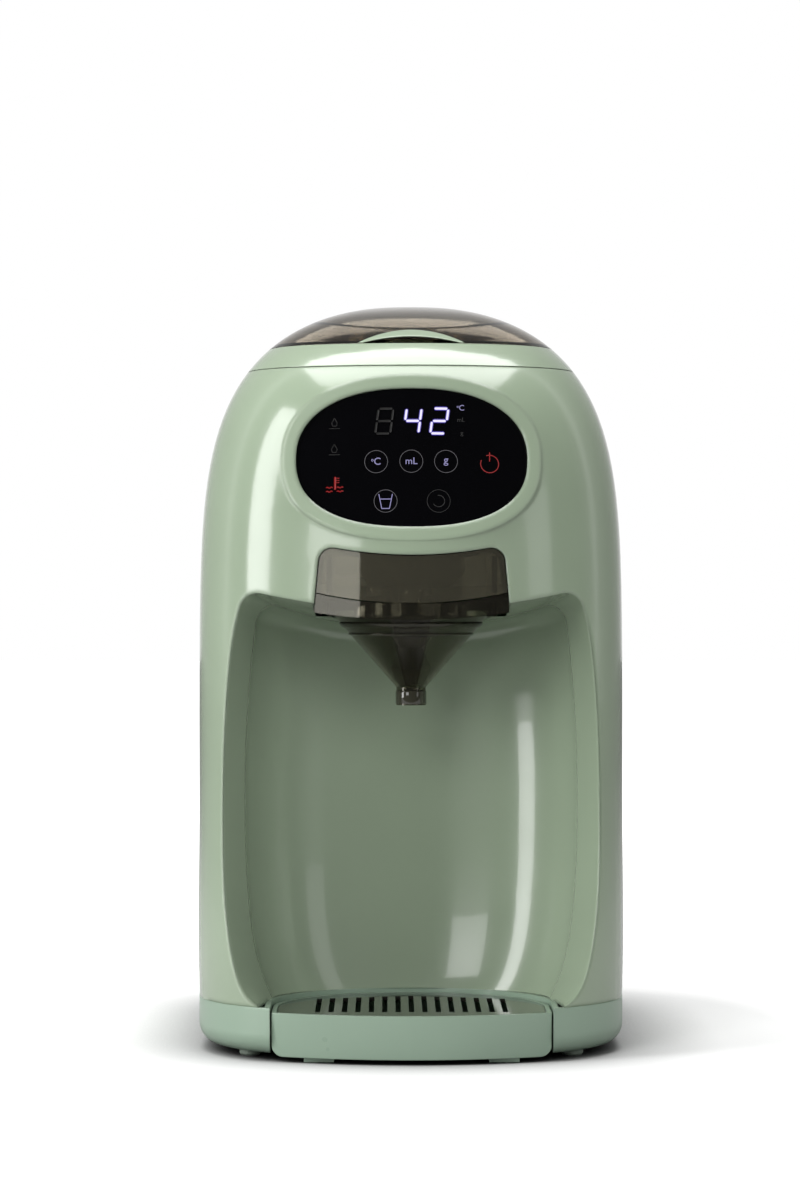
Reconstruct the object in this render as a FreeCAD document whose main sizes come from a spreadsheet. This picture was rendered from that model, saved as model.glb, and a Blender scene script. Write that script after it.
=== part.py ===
import FreeCAD, Part

import math
import os
import re

import Sketcher

# A counter-top baby formula maker. X is across the machine, the front faces -Y, Z is up.
# The origin lies on the table, under the middle of the machine's bounding box.

doc = FreeCAD.newDocument("formula_maker")
sheet = doc.addObject("Spreadsheet::Sheet", "dims")
Vec = FreeCAD.Vector
pieces = []

# Driving dimensions, in millimetres unless the name says otherwise.
driving = {
    # outer form: a rounded plan that shrinks to a domed top along superellipses
    "body_half_width": 97.4,
    "body_front": 135.0,
    "body_rear": 135.0,
    "face_radius": 150.0,
    "face_corner": 60.0,
    "back_radius": 260.0,
    "back_corner": 45.0,
    "body_top": 345.0,
    "dome_start": 105.0,
    "dome_power_side": 6.0,
    "dome_power_front": 8.0,
    "dome_power_rear": 14.0,
    "wall": 2.5,
    "lid_wall": 2.2,
    "seam_gap": 0.3,
    # seams between the mouldings
    "base_seam": 24.0,
    "frame_seam": 310.5,
    "lid_seam": 321.8,
    "split_line": -28.0,
    "liner_line": -84.0,
    "tank_front": 71.0,
    "bulkhead": 69.5,
    "platform": 96.0,
    # base pan, its screw bosses and feet
    "pan_bottom": 3.0,
    "pan_edge_round": 9.0,
    "boss_radius": 5.5,
    "boss_bore": 1.7,
    "screw_hole": 3.6,
    "screw_hole_depth": 3.0,
    "boss_side": 89.0,
    "boss_front": -50.0,
    "boss_corner_side": 71.0,
    "boss_corner_back": 111.0,
    "screw_head_radius": 3.2,
    "screw_head_height": 2.4,
    "screw_radius": 1.6,
    "screw_length": 26.0,
    "front_foot_radius": 5.0,
    "front_foot_side": 72.8,
    "front_foot_back": -94.0,
    "rear_foot_radius": 8.0,
    "rear_foot_side": 58.0,
    "rear_foot_back": 88.0,
    # drip tray and its plate
    "tray_half_width": 62.4,
    "tray_straight": -96.0,
    "tray_depth": 53.4,
    "tray_bottom": 2.4,
    "tray_top": 22.0,
    "tray_gap": 0.7,
    "tray_wall": 2.2,
    "tray_corner": 5.0,
    "tray_front_inset": 0.4,
    "tray_pad_inner": 34.5,
    "tray_pad_width": 13.5,
    "tray_pad_length": 12.0,
    "tray_pad_front": -122.0,
    "tray_pad_rear": -70.0,
    "tray_pad_bottom": 0.2,
    "plate_thickness": 1.8,
    "plate_gap": 0.4,
    "plate_lift": 0.2,
    "plate_ledge": 3.2,
    "drain_width": 2.4,
    "drain_pitch": 6.0,
    "drain_count": 15.0,
    "drain_front": -118.0,
    "drain_rear": -58.0,
    # bottle bay
    "bay_straight": -84.0,
    "lip_back": -107.0,
    "ceiling_middle": 200.5,
    "ceiling_rise": 10.5,
    "ceiling_half_width": 72.0,
    "ceiling_slope": 0.1,
    "ceiling_round": 9.0,
    # control panel
    "panel_height": 269.0,
    "panel_front": 125.6,
    "panel_tilt_deg": 12.0,
    "panel_half_width": 51.4,
    "panel_half_height": 31.6,
    "panel_power": 2.35,
    "panel_curve": 260.0,
    "panel_rim": 6.4,
    "panel_rim_proud": 1.3,
    "panel_thickness": 2.0,
    "panel_gap": 0.15,
    "panel_ledge": 3.6,
    "panel_rim_depth": 9.0,
    "display_board_width": 78.0,
    "display_board_height": 36.0,
    "board_thickness": 1.6,
    "display_board_depth": 11.0,
    "display_width": 46.0,
    "display_height": 18.0,
    "display_shift": 6.0,
    "key_radius": 4.6,
    "key_pitch": 15.4,
    "key_drop": 9.5,
    # funnel drawer
    "spout_back": -76.0,
    "drawer_rear": -38.0,
    "drawer_half_width": 43.2,
    "drawer_top_half_width": 40.4,
    "flange_middle": 197.0,
    "flange_end": 200.2,
    "cover_middle": 204.0,
    "cover_end": 208.6,
    "cover_top_middle": 225.3,
    "cover_top_end": 229.8,
    "drawer_gap": 0.5,
    "front_band": -120.0,
    "slide_half_width": 37.6,
    "runner_reach": 2.6,
    "runner_bottom": 203.6,
    "runner_height": 2.4,
    "runner_front": -104.0,
    "cover_wall": 2.4,
    "cover_corner": 6.0,
    "bowl_radius": 36.0,
    "bowl_wall": 2.2,
    "bowl_top": 206.5,
    "bowl_rim": 198.5,
    "spout_top": 165.7,
    "spout_bottom": 157.5,
    "spout_radius": 6.8,
    "spout_bore": 4.8,
    "insert_top": 189.0,
    "insert_neck_height": 184.0,
    "insert_belly_height": 174.4,
    "insert_bottom": 167.2,
    "insert_top_radius": 10.0,
    "insert_neck_radius": 5.4,
    "insert_belly_radius": 9.6,
    "insert_bottom_radius": 6.0,
    "insert_bore": 3.0,
    "rail_bottom": 200.8,
    "rail_height": 12.0,
    "rail_width": 6.0,
    "rail_gap": 0.4,
    # powder hopper on its seat
    "hopper_back": -40.0,
    "hopper_radius": 46.0,
    "hopper_wall": 2.4,
    "hopper_cone_top": 280.0,
    "hopper_cone_bottom": 262.0,
    "wheel_chamber_radius": 36.6,
    "hopper_bottom": 248.0,
    "base_bottom": 245.0,
    "flange_bottom": 317.8,
    "flange_top": 320.8,
    "flange_inset": 3.4,
    "flange_rear": 66.0,
    "deck_bottom": 315.0,
    "deck_top": 317.5,
    "deck_hole": 47.2,
    "seat_bottom": 231.0,
    "seat_thickness": 3.0,
    "seat_front": -100.0,
    "seat_rear": 10.0,
    "outlet_offset": 27.0,
    "outlet_radius": 5.4,
    "chute_radius": 7.0,
    "chute_bottom": 236.5,
    "wheel_radius": 33.8,
    "wheel_bottom": 248.4,
    "wheel_height": 9.0,
    "pocket_radius": 4.8,
    "pocket_count": 6.0,
    "hub_radius": 9.0,
    "hub_top": 266.0,
    "socket_side": 9.0,
    "socket_depth": 8.4,
    "dog_side": 8.5,
    "arm_length": 30.0,
    "arm_width": 5.0,
    "arm_height": 3.2,
    "blade_bottom": 270.5,
    "blade_height": 36.0,
    "blade_thickness": 2.2,
    "seal_inner": 43.8,
    "seal_outer": 46.0,
    "seal_top": 323.0,
    "skirt_bottom": 323.3,
    "skirt_top": 336.0,
    # outlet block over the funnel
    "block_half_width": 24.0,
    "block_front": -100.0,
    "block_rear": -52.0,
    "block_bottom": 211.0,
    "block_chamfer": 7.0,
    "nozzle_side": -17.0,
    "nozzle_back": -78.0,
    "nozzle_radius": 3.2,
    "nozzle_bore": 1.8,
    "nozzle_bottom": 207.4,
    "water_height": 221.0,
    # dosing drive
    "gear_module": 0.8,
    "gear_teeth": 45.0,
    "pinion_teeth": 18.0,
    "gear_backlash": 0.16,
    "gear_bottom": 235.4,
    "gear_width": 5.6,
    "gear_plate_bottom": 241.8,
    "gear_plate_thickness": 2.2,
    "drive_shaft_radius": 3.0,
    "pinion_shaft_radius": 1.5,
    "shaft_clearance": 0.05,
    "motor_radius": 10.5,
    "motor_length": 32.0,
    # lid hinge and finger notch
    "lid_rear": 58.5,
    "bridge_front": 59.0,
    "bridge_rear": 69.4,
    "hinge_back": 62.2,
    "hinge_height": 341.3,
    "knuckle_radius": 3.1,
    "hinge_pin_radius": 1.5,
    "hinge_clearance": 0.06,
    "lid_knuckle_half": 13.6,
    "bridge_knuckle_end": 20.0,
    "knuckle_gap": 0.5,
    "notch_half_width": 22.0,
    "notch_height": 2.6,
    "notch_back": -116.0,
    # water tank
    "tank_bottom": 97.0,
    "tank_floor": 99.6,
    "tank_rim": 310.2,
    "tank_lid_bottom": 310.6,
    "tank_wall": 2.2,
    "valve_back": 98.0,
    "collar_radius": 9.0,
    "collar_bore": 7.4,
    "collar_bottom": 90.0,
    "water_port_radius": 1.5,
    "water_port_ring": 4.4,
    "water_port_count": 6.0,
    "valve_head_radius": 6.8,
    "valve_head_bottom": 99.9,
    "valve_head_height": 1.8,
    "valve_stem_radius": 2.0,
    "valve_stem_bottom": 92.0,
    "cage_radius": 12.0,
    "cage_wall": 1.4,
    "cage_top": 122.0,
    "cage_slot": 3.6,
    "float_side": 42.0,
    "float_radius": 9.0,
    "float_bore": 3.5,
    "float_height": 9.0,
    "float_bottom": 100.4,
    "guide_radius": 3.0,
    "guide_top": 190.0,
    "guide_cap_radius": 5.0,
    "guide_cap_height": 3.0,
    "tank_hinge_back": 130.6,
    "tank_hinge_height": 310.4,
    "tank_knuckle_radius": 2.9,
    "tank_knuckle_half": 11.6,
    "tank_ear_end": 18.0,
    # dock under the tank
    "dock_radius": 15.0,
    "dock_bore": 10.6,
    "dock_bottom": 84.0,
    "dock_floor": 87.5,
    "post_radius": 2.6,
    "post_top": 91.7,
    "dock_seal_inner": 9.3,
    "dock_seal_bottom": 91.0,
    "dock_seal_height": 2.4,
    # pump, heater and hoses
    "pump_side": 30.0,
    "pump_height": 50.0,
    "pump_head_radius": 17.0,
    "pump_head_length": 15.0,
    "pump_motor_radius": 13.5,
    "pump_motor_length": 34.0,
    "port_radius": 3.0,
    "port_length": 9.0,
    "heater_side": -48.0,
    "heater_back": 22.0,
    "heater_bottom": 40.0,
    "heater_length": 100.0,
    "heater_radius": 19.0,
    "heater_flange_radius": 22.0,
    "heater_flange_height": 5.0,
    "hose_radius": 5.0,
    "hose_bore": 3.1,
    "hose_turn_back": -12.0,
    # electronics
    "board_width": 112.0,
    "board_height": 84.0,
    "board_back": 60.0,
    "board_bottom": 128.0,
    "transformer_size": 28.0,
    # mains cord gland
    "gland_side": -50.0,
    "gland_height": 44.0,
    "gland_bore": 3.6,
    "gland_radius": 6.5,
    "gland_flange_radius": 9.5,
    "gland_flange_thickness": 2.4,
    "gland_length": 16.0,
    "gland_back": 128.0,
    # vents in the back
    "vent_width": 3.0,
    "vent_height": 26.0,
    "vent_pitch": 8.0,
    "vent_count": 7.0,
    "vent_bottom": 46.0,
    "vent_side": 24.0,
}

# Bottle bay upwards: height, half-width at the lip, half-width and depth of the wall behind it.
bay_stations = [
    (12.0, 60.0, 60.5, 38.5),
    (24.0, 66.4, 63.4, 41.4),
    (31.0, 73.6, 66.6, 43.2),
    (42.0, 78.4, 70.2, 44.8),
    (60.0, 82.6, 73.4, 46.4),
    (85.0, 85.6, 75.4, 47.6),
    (112.0, 86.4, 76.0, 48.0),
    (140.0, 85.4, 75.6, 48.0),
    (170.0, 82.6, 73.8, 47.0),
    (198.0, 77.2, 70.6, 45.6),
    (226.0, 69.4, 66.4, 43.6),
]

for row, (alias, number) in enumerate(driving.items(), start=1):
    sheet.set(f"A{row}", alias)
    sheet.set(f"B{row}", str(number))
    sheet.setAlias(f"B{row}", alias)
doc.recompute()


def bind(text):
    """Turns the sheet's names in a formula into references to its cells."""
    return re.sub(r"[a-z_]+", lambda m: "dims." + m.group() if m.group() in driving else m.group(), str(text))


def dim(text):
    """The value of a formula of the sheet's names."""
    return float(sheet.evalExpression(bind(text)))


# Sub-parts and what they are built from

def keep(made, label):
    made.Label = label
    pieces.append(made)
    return made


def feature(label, shape, frame=FreeCAD.Placement()):
    made = doc.addObject("Part::Feature", label)
    made.Shape = shape
    made.Placement = frame
    return keep(made, label)


def place(made, corner, turn=None):
    made.Placement = FreeCAD.Placement(Vec(), turn or FreeCAD.Rotation())
    for axis, text in zip("xyz", corner):
        made.setExpression("Placement.Base." + axis, bind(text))
    return made


def block(name, size, corner, turn=None):
    made = doc.addObject("Part::Box", name)
    for side, text in zip(("Length", "Width", "Height"), size):
        made.setExpression(side, bind(text))
    return place(made, corner, turn)


turns = {
    "x": FreeCAD.Rotation(Vec(0, 1, 0), 90),
    "y": FreeCAD.Rotation(Vec(1, 0, 0), -90),
    "z": FreeCAD.Rotation(),
}


def rod(name, radius, length, start, along="z"):
    made = doc.addObject("Part::Cylinder", name)
    made.setExpression("Radius", bind(radius))
    made.setExpression("Height", bind(length))
    return place(made, start, turns[along])


def joined(name, *parts):
    made = doc.addObject("Part::MultiFuse", name)
    made.Shapes = list(parts)
    return made


def carved(name, base, *tools):
    made = doc.addObject("Part::Cut", name)
    made.Base = base
    made.Tool = tools[0] if len(tools) == 1 else joined(name + "_tools", *tools)
    return made


def hold_corner(sketch, edge, axis, text):
    """Holds the start of a sketch's edge where a formula of the sheet puts it."""
    reading = dim(text)
    if abs(reading) < 1e-9:
        own_axis = -2 if axis == "X" else -1
        sketch.addConstraint(Sketcher.Constraint("PointOnObject", edge, 1, own_axis))
        return
    ends = (-1, 1, edge, 1) if reading > 0 else (edge, 1, -1, 1)
    number = sketch.addConstraint(Sketcher.Constraint("Distance" + axis, *ends, abs(reading)))
    signed = bind(text) if reading > 0 else f"-({bind(text)})"
    sketch.setExpression(f"Constraints[{number}]", signed)


def outline_sketch(body, role, corners):
    """A closed outline of straight runs on one of a body's own planes."""
    sketch = body.newObject("Sketcher::SketchObject", body.Name + "_outline")
    plane = next(face for face in body.Origin.OriginFeatures if face.Role == role)
    sketch.AttachmentSupport = [(plane, "")]
    sketch.MapMode = "FlatFace"
    points = [Vec(dim(across), dim(up), 0) for across, up in corners]
    for start, end in zip(points, points[1:] + points[:1]):
        sketch.addGeometry(Part.LineSegment(start, end))
    for edge in range(len(points)):
        sketch.addConstraint(Sketcher.Constraint("Coincident", edge, 2, (edge + 1) % len(points), 1))
    for edge, (across, up) in enumerate(corners):
        hold_corner(sketch, edge, "X", across)
        hold_corner(sketch, edge, "Y", up)
    return sketch


def turned(name, corners, base=(0, 0, 0), turn=None):
    """A body turned about its own upright axis, from corners of radius and height."""
    body = doc.addObject("PartDesign::Body", name)
    spin = body.newObject("PartDesign::Revolution", name + "_turn")
    spin.Profile = outline_sketch(body, "XZ_Plane", corners)
    spin.ReferenceAxis = (spin.Profile[0], ["V_Axis"])
    spin.Angle = 360
    return place(body, base, turn)


def padded(name, role, corners, length, base=(0, 0, 0)):
    """A body padded from a straight-sided outline on one of its own planes."""
    body = doc.addObject("PartDesign::Body", name)
    pad = body.newObject("PartDesign::Pad", name + "_pad")
    pad.Profile = outline_sketch(body, role, corners)
    pad.setExpression("Length", bind(length))
    return place(body, base)


# Shapes that the outer form needs

def box_between(low, high):
    return Part.makeBox(*(b - a for a, b in zip(low, high)), Vec(*low))


def closed_spline(points, knots=None):
    curve = Part.BSplineCurve()
    if knots:
        curve.interpolate(points, PeriodicFlag=True, Parameters=knots)
    else:
        curve.interpolate(points, PeriodicFlag=True)
    return Part.Wire(curve.toShape())


def plan_corner(half, depth, face_radius, corner_radius):
    """Points from the middle of a bowed face round the corner to the flat side."""
    face_centre = depth - face_radius
    corner_x = half - corner_radius
    corner_y = face_centre + math.sqrt((face_radius - corner_radius) ** 2 - corner_x ** 2)
    face_angle = math.asin(corner_x / (face_radius - corner_radius))
    points = []
    for step in range(4):
        angle = face_angle * step / 4
        points.append((face_radius * math.sin(angle), face_centre + face_radius * math.cos(angle)))
    for step in range(5):
        angle = face_angle + (math.pi / 2 - face_angle) * step / 4
        points.append((corner_x + corner_radius * math.sin(angle), corner_y + corner_radius * math.cos(angle)))
    return points


def full_plan(inset):
    """The outer form's widest plan, drawn in by an inset, from the middle of the front round."""
    half = dim("body_half_width") - inset
    front = plan_corner(half, dim("body_front") - inset, dim("face_radius") - inset, dim("face_corner") - inset)
    rear = plan_corner(half, dim("body_rear") - inset, dim("back_radius") - inset, dim("back_corner") - inset)
    right = [(x, -y) for x, y in front]
    flat_start, flat_end = right[-1], rear[-1]
    for step in range(1, 6):
        right.append((half, flat_start[1] + (flat_end[1] - flat_start[1]) * step / 6))
    right += list(reversed(rear))
    return right + [(-x, y) for x, y in reversed(right[1:-1])]


def plan_knots():
    """Shared spline parameters, so that all sections of the form have the same knots."""
    plan = full_plan(0)
    knots = [0.0]
    for (x, y), (next_x, next_y) in zip(plan, plan[1:] + plan[:1]):
        knots.append(knots[-1] + math.hypot(next_x - x, next_y - y))
    return knots


shared_knots = plan_knots()


def form_section(height, inset):
    """The outer form's plan at a height, drawn in by an inset."""
    start = dim("dome_start")
    rise = max(0.0, (height - start) / (dim("body_top") - inset - start))
    side, ahead, behind = (math.sqrt(1 - rise ** dim("dome_power_" + way)) for way in ("side", "front", "rear"))
    points = [Vec(x * side, y * (ahead if y < 0 else behind), height) for x, y in full_plan(inset)]
    return closed_spline(points, shared_knots)


def form(inset, bottom):
    """The outer form as a solid, drawn in by an inset, from a height up to its crest."""
    start = dim("dome_start")
    rise = dim("body_top") - inset - start
    angles = (0.4, 1.5, 5, 10, 18, 27, 36, 45, 54, 63, 72, 80, 86, 89)
    heights = [bottom, (bottom + start) / 2, start]
    heights += [start + rise * math.sin(math.radians(angle)) ** (1 / 3) for angle in angles]
    return Part.makeLoft([form_section(height, inset) for height in heights], True, False, False)


def between(shape, front, rear, bottom, top):
    """The part of a shape between two depths and two heights."""
    reach = 200.0
    return shape.common(box_between((-reach, front, bottom), (reach, rear, top)))


outside, below = 200.0, -50.0
outer = form(0, below)
inner = form(dim("wall"), below)


# Bottle bay

def bay_section(height, lip, half, depth, grow):
    straight, front = dim("bay_straight"), -160.0
    half, depth = half + grow, depth + grow
    flare = (lip + grow - half) / (straight - dim("lip_back"))
    wide = half + flare * (straight - front)
    corners = [Vec(-half, straight, height), Vec(-wide, front, height), Vec(wide, front, height),
               Vec(half, straight, height)]
    edges = [Part.LineSegment(a, b).toShape() for a, b in zip(corners, corners[1:])]
    ellipse = Part.Ellipse(Vec(0, straight, height), half, depth)
    edges.append(Part.ArcOfEllipse(ellipse, 0, math.pi).toShape())
    return Part.Wire(edges)


def ceiling_prism(lift):
    """Everything under the bay's smiling ceiling, which falls towards the back."""
    side, deep = dim("ceiling_half_width"), 260.0
    front = -160.0
    rise = (dim("lip_back") - 20 - front) * dim("ceiling_slope") + lift
    wide = outside / side
    middle = Vec(0, front, dim("ceiling_middle") + rise)
    ends = [Vec(sign * outside, front, middle.z + dim("ceiling_rise") * wide ** 2) for sign in (-1, 1)]
    curve = Part.BezierCurve()
    curve.setPoles([ends[0], Vec(0, front, 2 * middle.z - ends[0].z), ends[1]])
    low = [Vec(outside, front, below), Vec(-outside, front, below)]
    lines = [Part.LineSegment(a, b).toShape() for a, b in zip([ends[1]] + low, low + [ends[0]])]
    face = Part.Face(Part.Wire([curve.toShape()] + lines))
    return face.extrude(Vec(0, deep, -deep * dim("ceiling_slope")))


def bay(grow):
    """The bay's hollow, or the hollow grown by a wall."""
    sections = [bay_section(*station, grow) for station in bay_stations]
    return Part.makeLoft(sections, True, False, False).common(ceiling_prism(grow))


def rounded_ceiling(hollow, radius):
    """Rounds the corner between the bay's ceiling and its walls."""
    roof = max(hollow.Faces, key=lambda face: face.CenterOfMass.z)
    edges = [edge for edge in roof.Edges if edge.CenterOfMass.y > dim("lip_back")
             or abs(edge.CenterOfMass.x) > dim("ceiling_half_width") * 0.8]
    return hollow.makeFillet(radius, edges)


hollow = rounded_ceiling(bay(0), dim("ceiling_round"))
hollow_wall = bay(dim("wall"))


# Drip tray outline, drawer outline and panel outline

def tray_outline(height, grow):
    """The tray's plan: flat sides, an elliptical back, and open to the front."""
    half = dim("tray_half_width") + grow
    straight = dim("tray_straight")
    ellipse = Part.Ellipse(Vec(0, straight, height), half, dim("tray_depth") + grow)
    arc = Part.ArcOfEllipse(ellipse, 0, math.pi).toShape()
    corners = [Vec(-half, straight, height), Vec(-half, -outside, height), Vec(half, -outside, height),
               Vec(half, straight, height)]
    lines = [Part.LineSegment(a, b).toShape() for a, b in zip(corners, corners[1:])]
    return Part.Face(Part.Wire(lines + [arc]))


def tray_solid(bottom, top, grow, inset, corner=0):
    """A slab of the tray's plan, cut to the body's bowed front where an inset is given."""
    slab = tray_outline(bottom, grow).extrude(Vec(0, 0, top - bottom))
    if corner:
        slab = slab.makeFillet(corner, [edge for edge in slab.Edges if abs(edge.CenterOfMass.z - bottom) < 0.01])
    return slab.common(form(inset, below)) if inset is not None else slab


def smile(half, middle, end, front):
    """A shallow upward-bowed arc across the front."""
    return Part.Arc(Vec(-half, front, end), Vec(0, front, middle), Vec(half, front, end)).toShape()


def drawer_half(height):
    """Half the drawer's width at a height: its sides lean inwards."""
    share = (height - dim("flange_end")) / (dim("cover_top_end") - dim("flange_end"))
    return dim("drawer_half_width") + share * (dim("drawer_top_half_width") - dim("drawer_half_width"))


def drawer_prism(grow, low, high, front, rear, corner=0):
    """The drawer's front outline, between two smiling arcs, as a prism towards the back."""
    (low_middle, low_end), (high_middle, high_end) = low, high
    low_half, high_half = drawer_half(low_end) + grow, drawer_half(high_end) + grow
    bottom = smile(low_half, low_middle - grow, low_end - grow, front)
    top = smile(high_half, high_middle + grow, high_end + grow, front)
    sides = [Part.LineSegment(Vec(sign * low_half, front, low_end - grow),
                              Vec(sign * high_half, front, high_end + grow)).toShape() for sign in (-1, 1)]
    prism = Part.Face(Part.Wire([bottom, sides[1], top, sides[0]])).extrude(Vec(0, rear - front, 0))
    if corner:
        middle = (front + rear) / 2
        edges = [edge for edge in prism.Edges if abs(edge.CenterOfMass.y - middle) < 0.1
                 and abs(edge.CenterOfMass.z - high_end - grow) < 0.1]
        prism = prism.makeFillet(corner, edges)
    return prism


def drawer_recess():
    """Room for the drawer, its rails and its cone, which slides out through the bay's ceiling."""
    gap, rear, centre = dim("drawer_gap"), dim("drawer_rear"), dim("spout_back")
    low, top = dim("spout_top"), dim("bowl_rim") - gap
    outline = drawer_prism(gap, flange_arc, cover_arc, -outside, rear, dim("cover_corner") + gap)
    half, rail_half = dim("drawer_half_width") + gap, dim("slide_half_width") + dim("rail_gap") + dim("rail_width")
    plate = box_between((-half, dim("front_band") - 5, top), (half, rear, dim("flange_end")))
    rails = box_between((-rail_half, dim("runner_front"), top),
                        (rail_half, rear, dim("rail_bottom") + dim("rail_height")))
    narrow, wide = dim("spout_radius") + gap, dim("bowl_radius") + gap
    slot = Part.makePolygon([Vec(-narrow, -outside, low), Vec(narrow, -outside, low), Vec(wide, -outside, top),
                             Vec(-wide, -outside, top), Vec(-narrow, -outside, low)])
    slot = Part.Face(slot).extrude(Vec(0, centre + outside, 0))
    cone = Part.makeCone(narrow, wide, top - low, Vec(0, centre, low))
    return outline.fuse([plate, rails, slot, cone])


flange_arc = (dim("flange_middle"), dim("flange_end"))
seam_arc = (dim("cover_middle"), dim("cover_end"))
cover_arc = (dim("cover_top_middle"), dim("cover_top_end"))


def panel_prism(grow, front, back):
    """A rounded oval prism in the panel's own frame, with depth measured inwards."""
    power, count = dim("panel_power"), 48
    half, tall = dim("panel_half_width") + grow, dim("panel_half_height") + grow
    points = []
    for step in range(count):
        angle = 2 * math.pi * step / count
        across, up = math.cos(angle), math.sin(angle)
        points.append(Vec(math.copysign(half * abs(across) ** (2 / power), across), front,
                          math.copysign(tall * abs(up) ** (2 / power), up)))
    return Part.Face(closed_spline(points)).extrude(Vec(0, back - front, 0))


def panel_bow(depth):
    """The drum whose front bows the panel, in the panel's own frame."""
    radius = dim("panel_curve")
    return Part.makeCylinder(radius, 200, Vec(0, radius + depth, -100))


panel_frame = FreeCAD.Placement(Vec(0, -dim("panel_front"), dim("panel_height")),
                                FreeCAD.Rotation(Vec(1, 0, 0), -dim("panel_tilt_deg")))


def in_panel_frame(shape):
    shape.Placement = panel_frame
    return shape


# Mouldings of the housing

def front_housing():
    top, seam, split = dim("frame_seam"), dim("base_seam"), dim("split_line")
    skin = between(outer, -outside, split, seam, top)
    void = between(inner, -outside, split, seam, top).cut(hollow_wall)
    shell = skin.cut(void)
    deep_wall = box_between((-outside, dim("liner_line"), 0), (outside, split, dim("ceiling_middle") + 40))
    shell = shell.cut(hollow_wall.common(deep_wall)).cut(hollow)
    drawer = drawer_recess()
    ring = panel_prism(dim("panel_rim"), -dim("panel_rim_proud"), dim("panel_rim_depth"))
    ring = ring.common(panel_bow(-dim("panel_rim_proud")))
    pocket = panel_prism(dim("panel_gap"), -40, 40).cut(panel_bow(dim("panel_thickness")))
    window = panel_prism(-dim("panel_ledge"), -40, 40)
    shell = shell.cut(in_panel_frame(panel_prism(dim("panel_rim") - 0.3, -40, dim("panel_rim_depth"))))
    shell = shell.fuse(in_panel_frame(ring)).cut([in_panel_frame(pocket), in_panel_frame(window), drawer])
    return feature("front_housing", max(shell.Solids, key=lambda solid: solid.Volume))


def bay_liner():
    """The deep wall and rear ceiling of the bottle bay, a moulding of its own."""
    deep = box_between((-outside, dim("liner_line"), dim("base_seam")), (outside, dim("split_line"), 240))
    drawer = drawer_recess()
    return feature("bay_liner", hollow_wall.common(deep).cut([hollow, drawer]))


def rear_housing():
    wall, seam, top = dim("wall"), dim("base_seam"), dim("frame_seam")
    split, back, platform = dim("split_line"), dim("bulkhead"), dim("platform")
    tall = between(outer, split, back, seam, top).fuse(between(outer, split, outside, seam, platform))
    void = between(inner, split, back - wall, seam, top)
    void = void.fuse(between(inner, split, outside, seam, platform - wall))
    shell = tall.cut(void)
    gland = Part.makeCylinder(dim("gland_radius"), 40, Vec(dim("gland_side"), dim("gland_back") - 20,
                                                           dim("gland_height")), Vec(0, 1, 0))
    dock = Part.makeCylinder(dim("dock_radius"), 20, Vec(0, dim("valve_back"), platform - 10))
    gland_seat = Part.makeCylinder(dim("gland_flange_radius") + 0.2, 20,
                                   Vec(dim("gland_side"), dim("gland_back"), dim("gland_height")), Vec(0, 1, 0))
    cuts = [gland, gland_seat, dock]
    for step in range(int(dim("vent_count"))):
        side = dim("vent_side") + (step - dim("vent_count") / 2) * dim("vent_pitch")
        low = Vec(side, dim("platform"), dim("vent_bottom"))
        cuts.append(Part.makeBox(dim("vent_width"), 60, dim("vent_height"), low))
    return feature("rear_housing", shell.cut(cuts))


def base_pan():
    low, wall, seam = dim("pan_bottom"), dim("wall"), dim("base_seam")
    plan = Part.Face(form_section(low, 0)).extrude(Vec(0, 0, seam - low))
    rim = min(plan.Edges, key=lambda edge: edge.CenterOfMass.z)
    plan = plan.makeFillet(dim("pan_edge_round"), [rim])
    notch = tray_solid(-10, 60, dim("tray_gap"), None)
    void = Part.Face(form_section(low + wall, wall)).extrude(Vec(0, 0, seam))
    void = void.makeChamfer(dim("pan_edge_round") * 0.6, [min(void.Edges, key=lambda e: e.CenterOfMass.z)])
    pan = plan.cut(void.cut(tray_solid(-10, 60, dim("tray_gap") + wall, None)))
    for x, y in boss_places:
        pan = pan.fuse(Part.makeCylinder(dim("boss_radius"), seam - low - 1, Vec(x, y, low + 1)).common(plan))
    cuts = [notch]
    for x, y in boss_places:
        cuts.append(Part.makeCylinder(dim("boss_bore"), seam, Vec(x, y, 0)))
        cuts.append(Part.makeCylinder(dim("screw_hole"), dim("screw_hole_depth"), Vec(x, y, low)))
    return feature("base_pan", pan.cut(cuts))


boss_places = [(sign * dim("boss_side"), dim("boss_front")) for sign in (-1, 1)]
boss_places += [(sign * dim("boss_corner_side"), dim("boss_corner_back")) for sign in (-1, 1)]


def top_frame():
    """The band under the lid, with a deck that the hopper's flange rests on."""
    low, high = dim("frame_seam") + dim("seam_gap"), dim("lid_seam") - dim("seam_gap")
    back, wall = dim("bulkhead"), dim("wall")
    band = between(outer, -outside, back, low, high).cut(between(inner, -outside, back - wall, low, high))
    deck = between(inner, -outside, back - wall, dim("deck_bottom"), dim("deck_top"))
    hole = Part.makeCylinder(dim("deck_hole"), 40, Vec(0, dim("hopper_back"), 300))
    return feature("top_frame", band.fuse(deck).cut(hole))


lid_inner = form(dim("lid_wall"), below)


def dome_shell(front, rear, bottom):
    """A slice of the domed top as a shell closed at both flat ends."""
    wall = dim("lid_wall")
    return between(outer, front, rear, bottom, 400).cut(between(lid_inner, front + wall, rear - wall, 0, 400))


def knuckle(radius, start, end, back, height, bore):
    body = Part.makeCylinder(radius, end - start, Vec(start, back, height), Vec(1, 0, 0))
    return body.cut(Part.makeCylinder(bore, end - start, Vec(start, back, height), Vec(1, 0, 0)))


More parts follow.
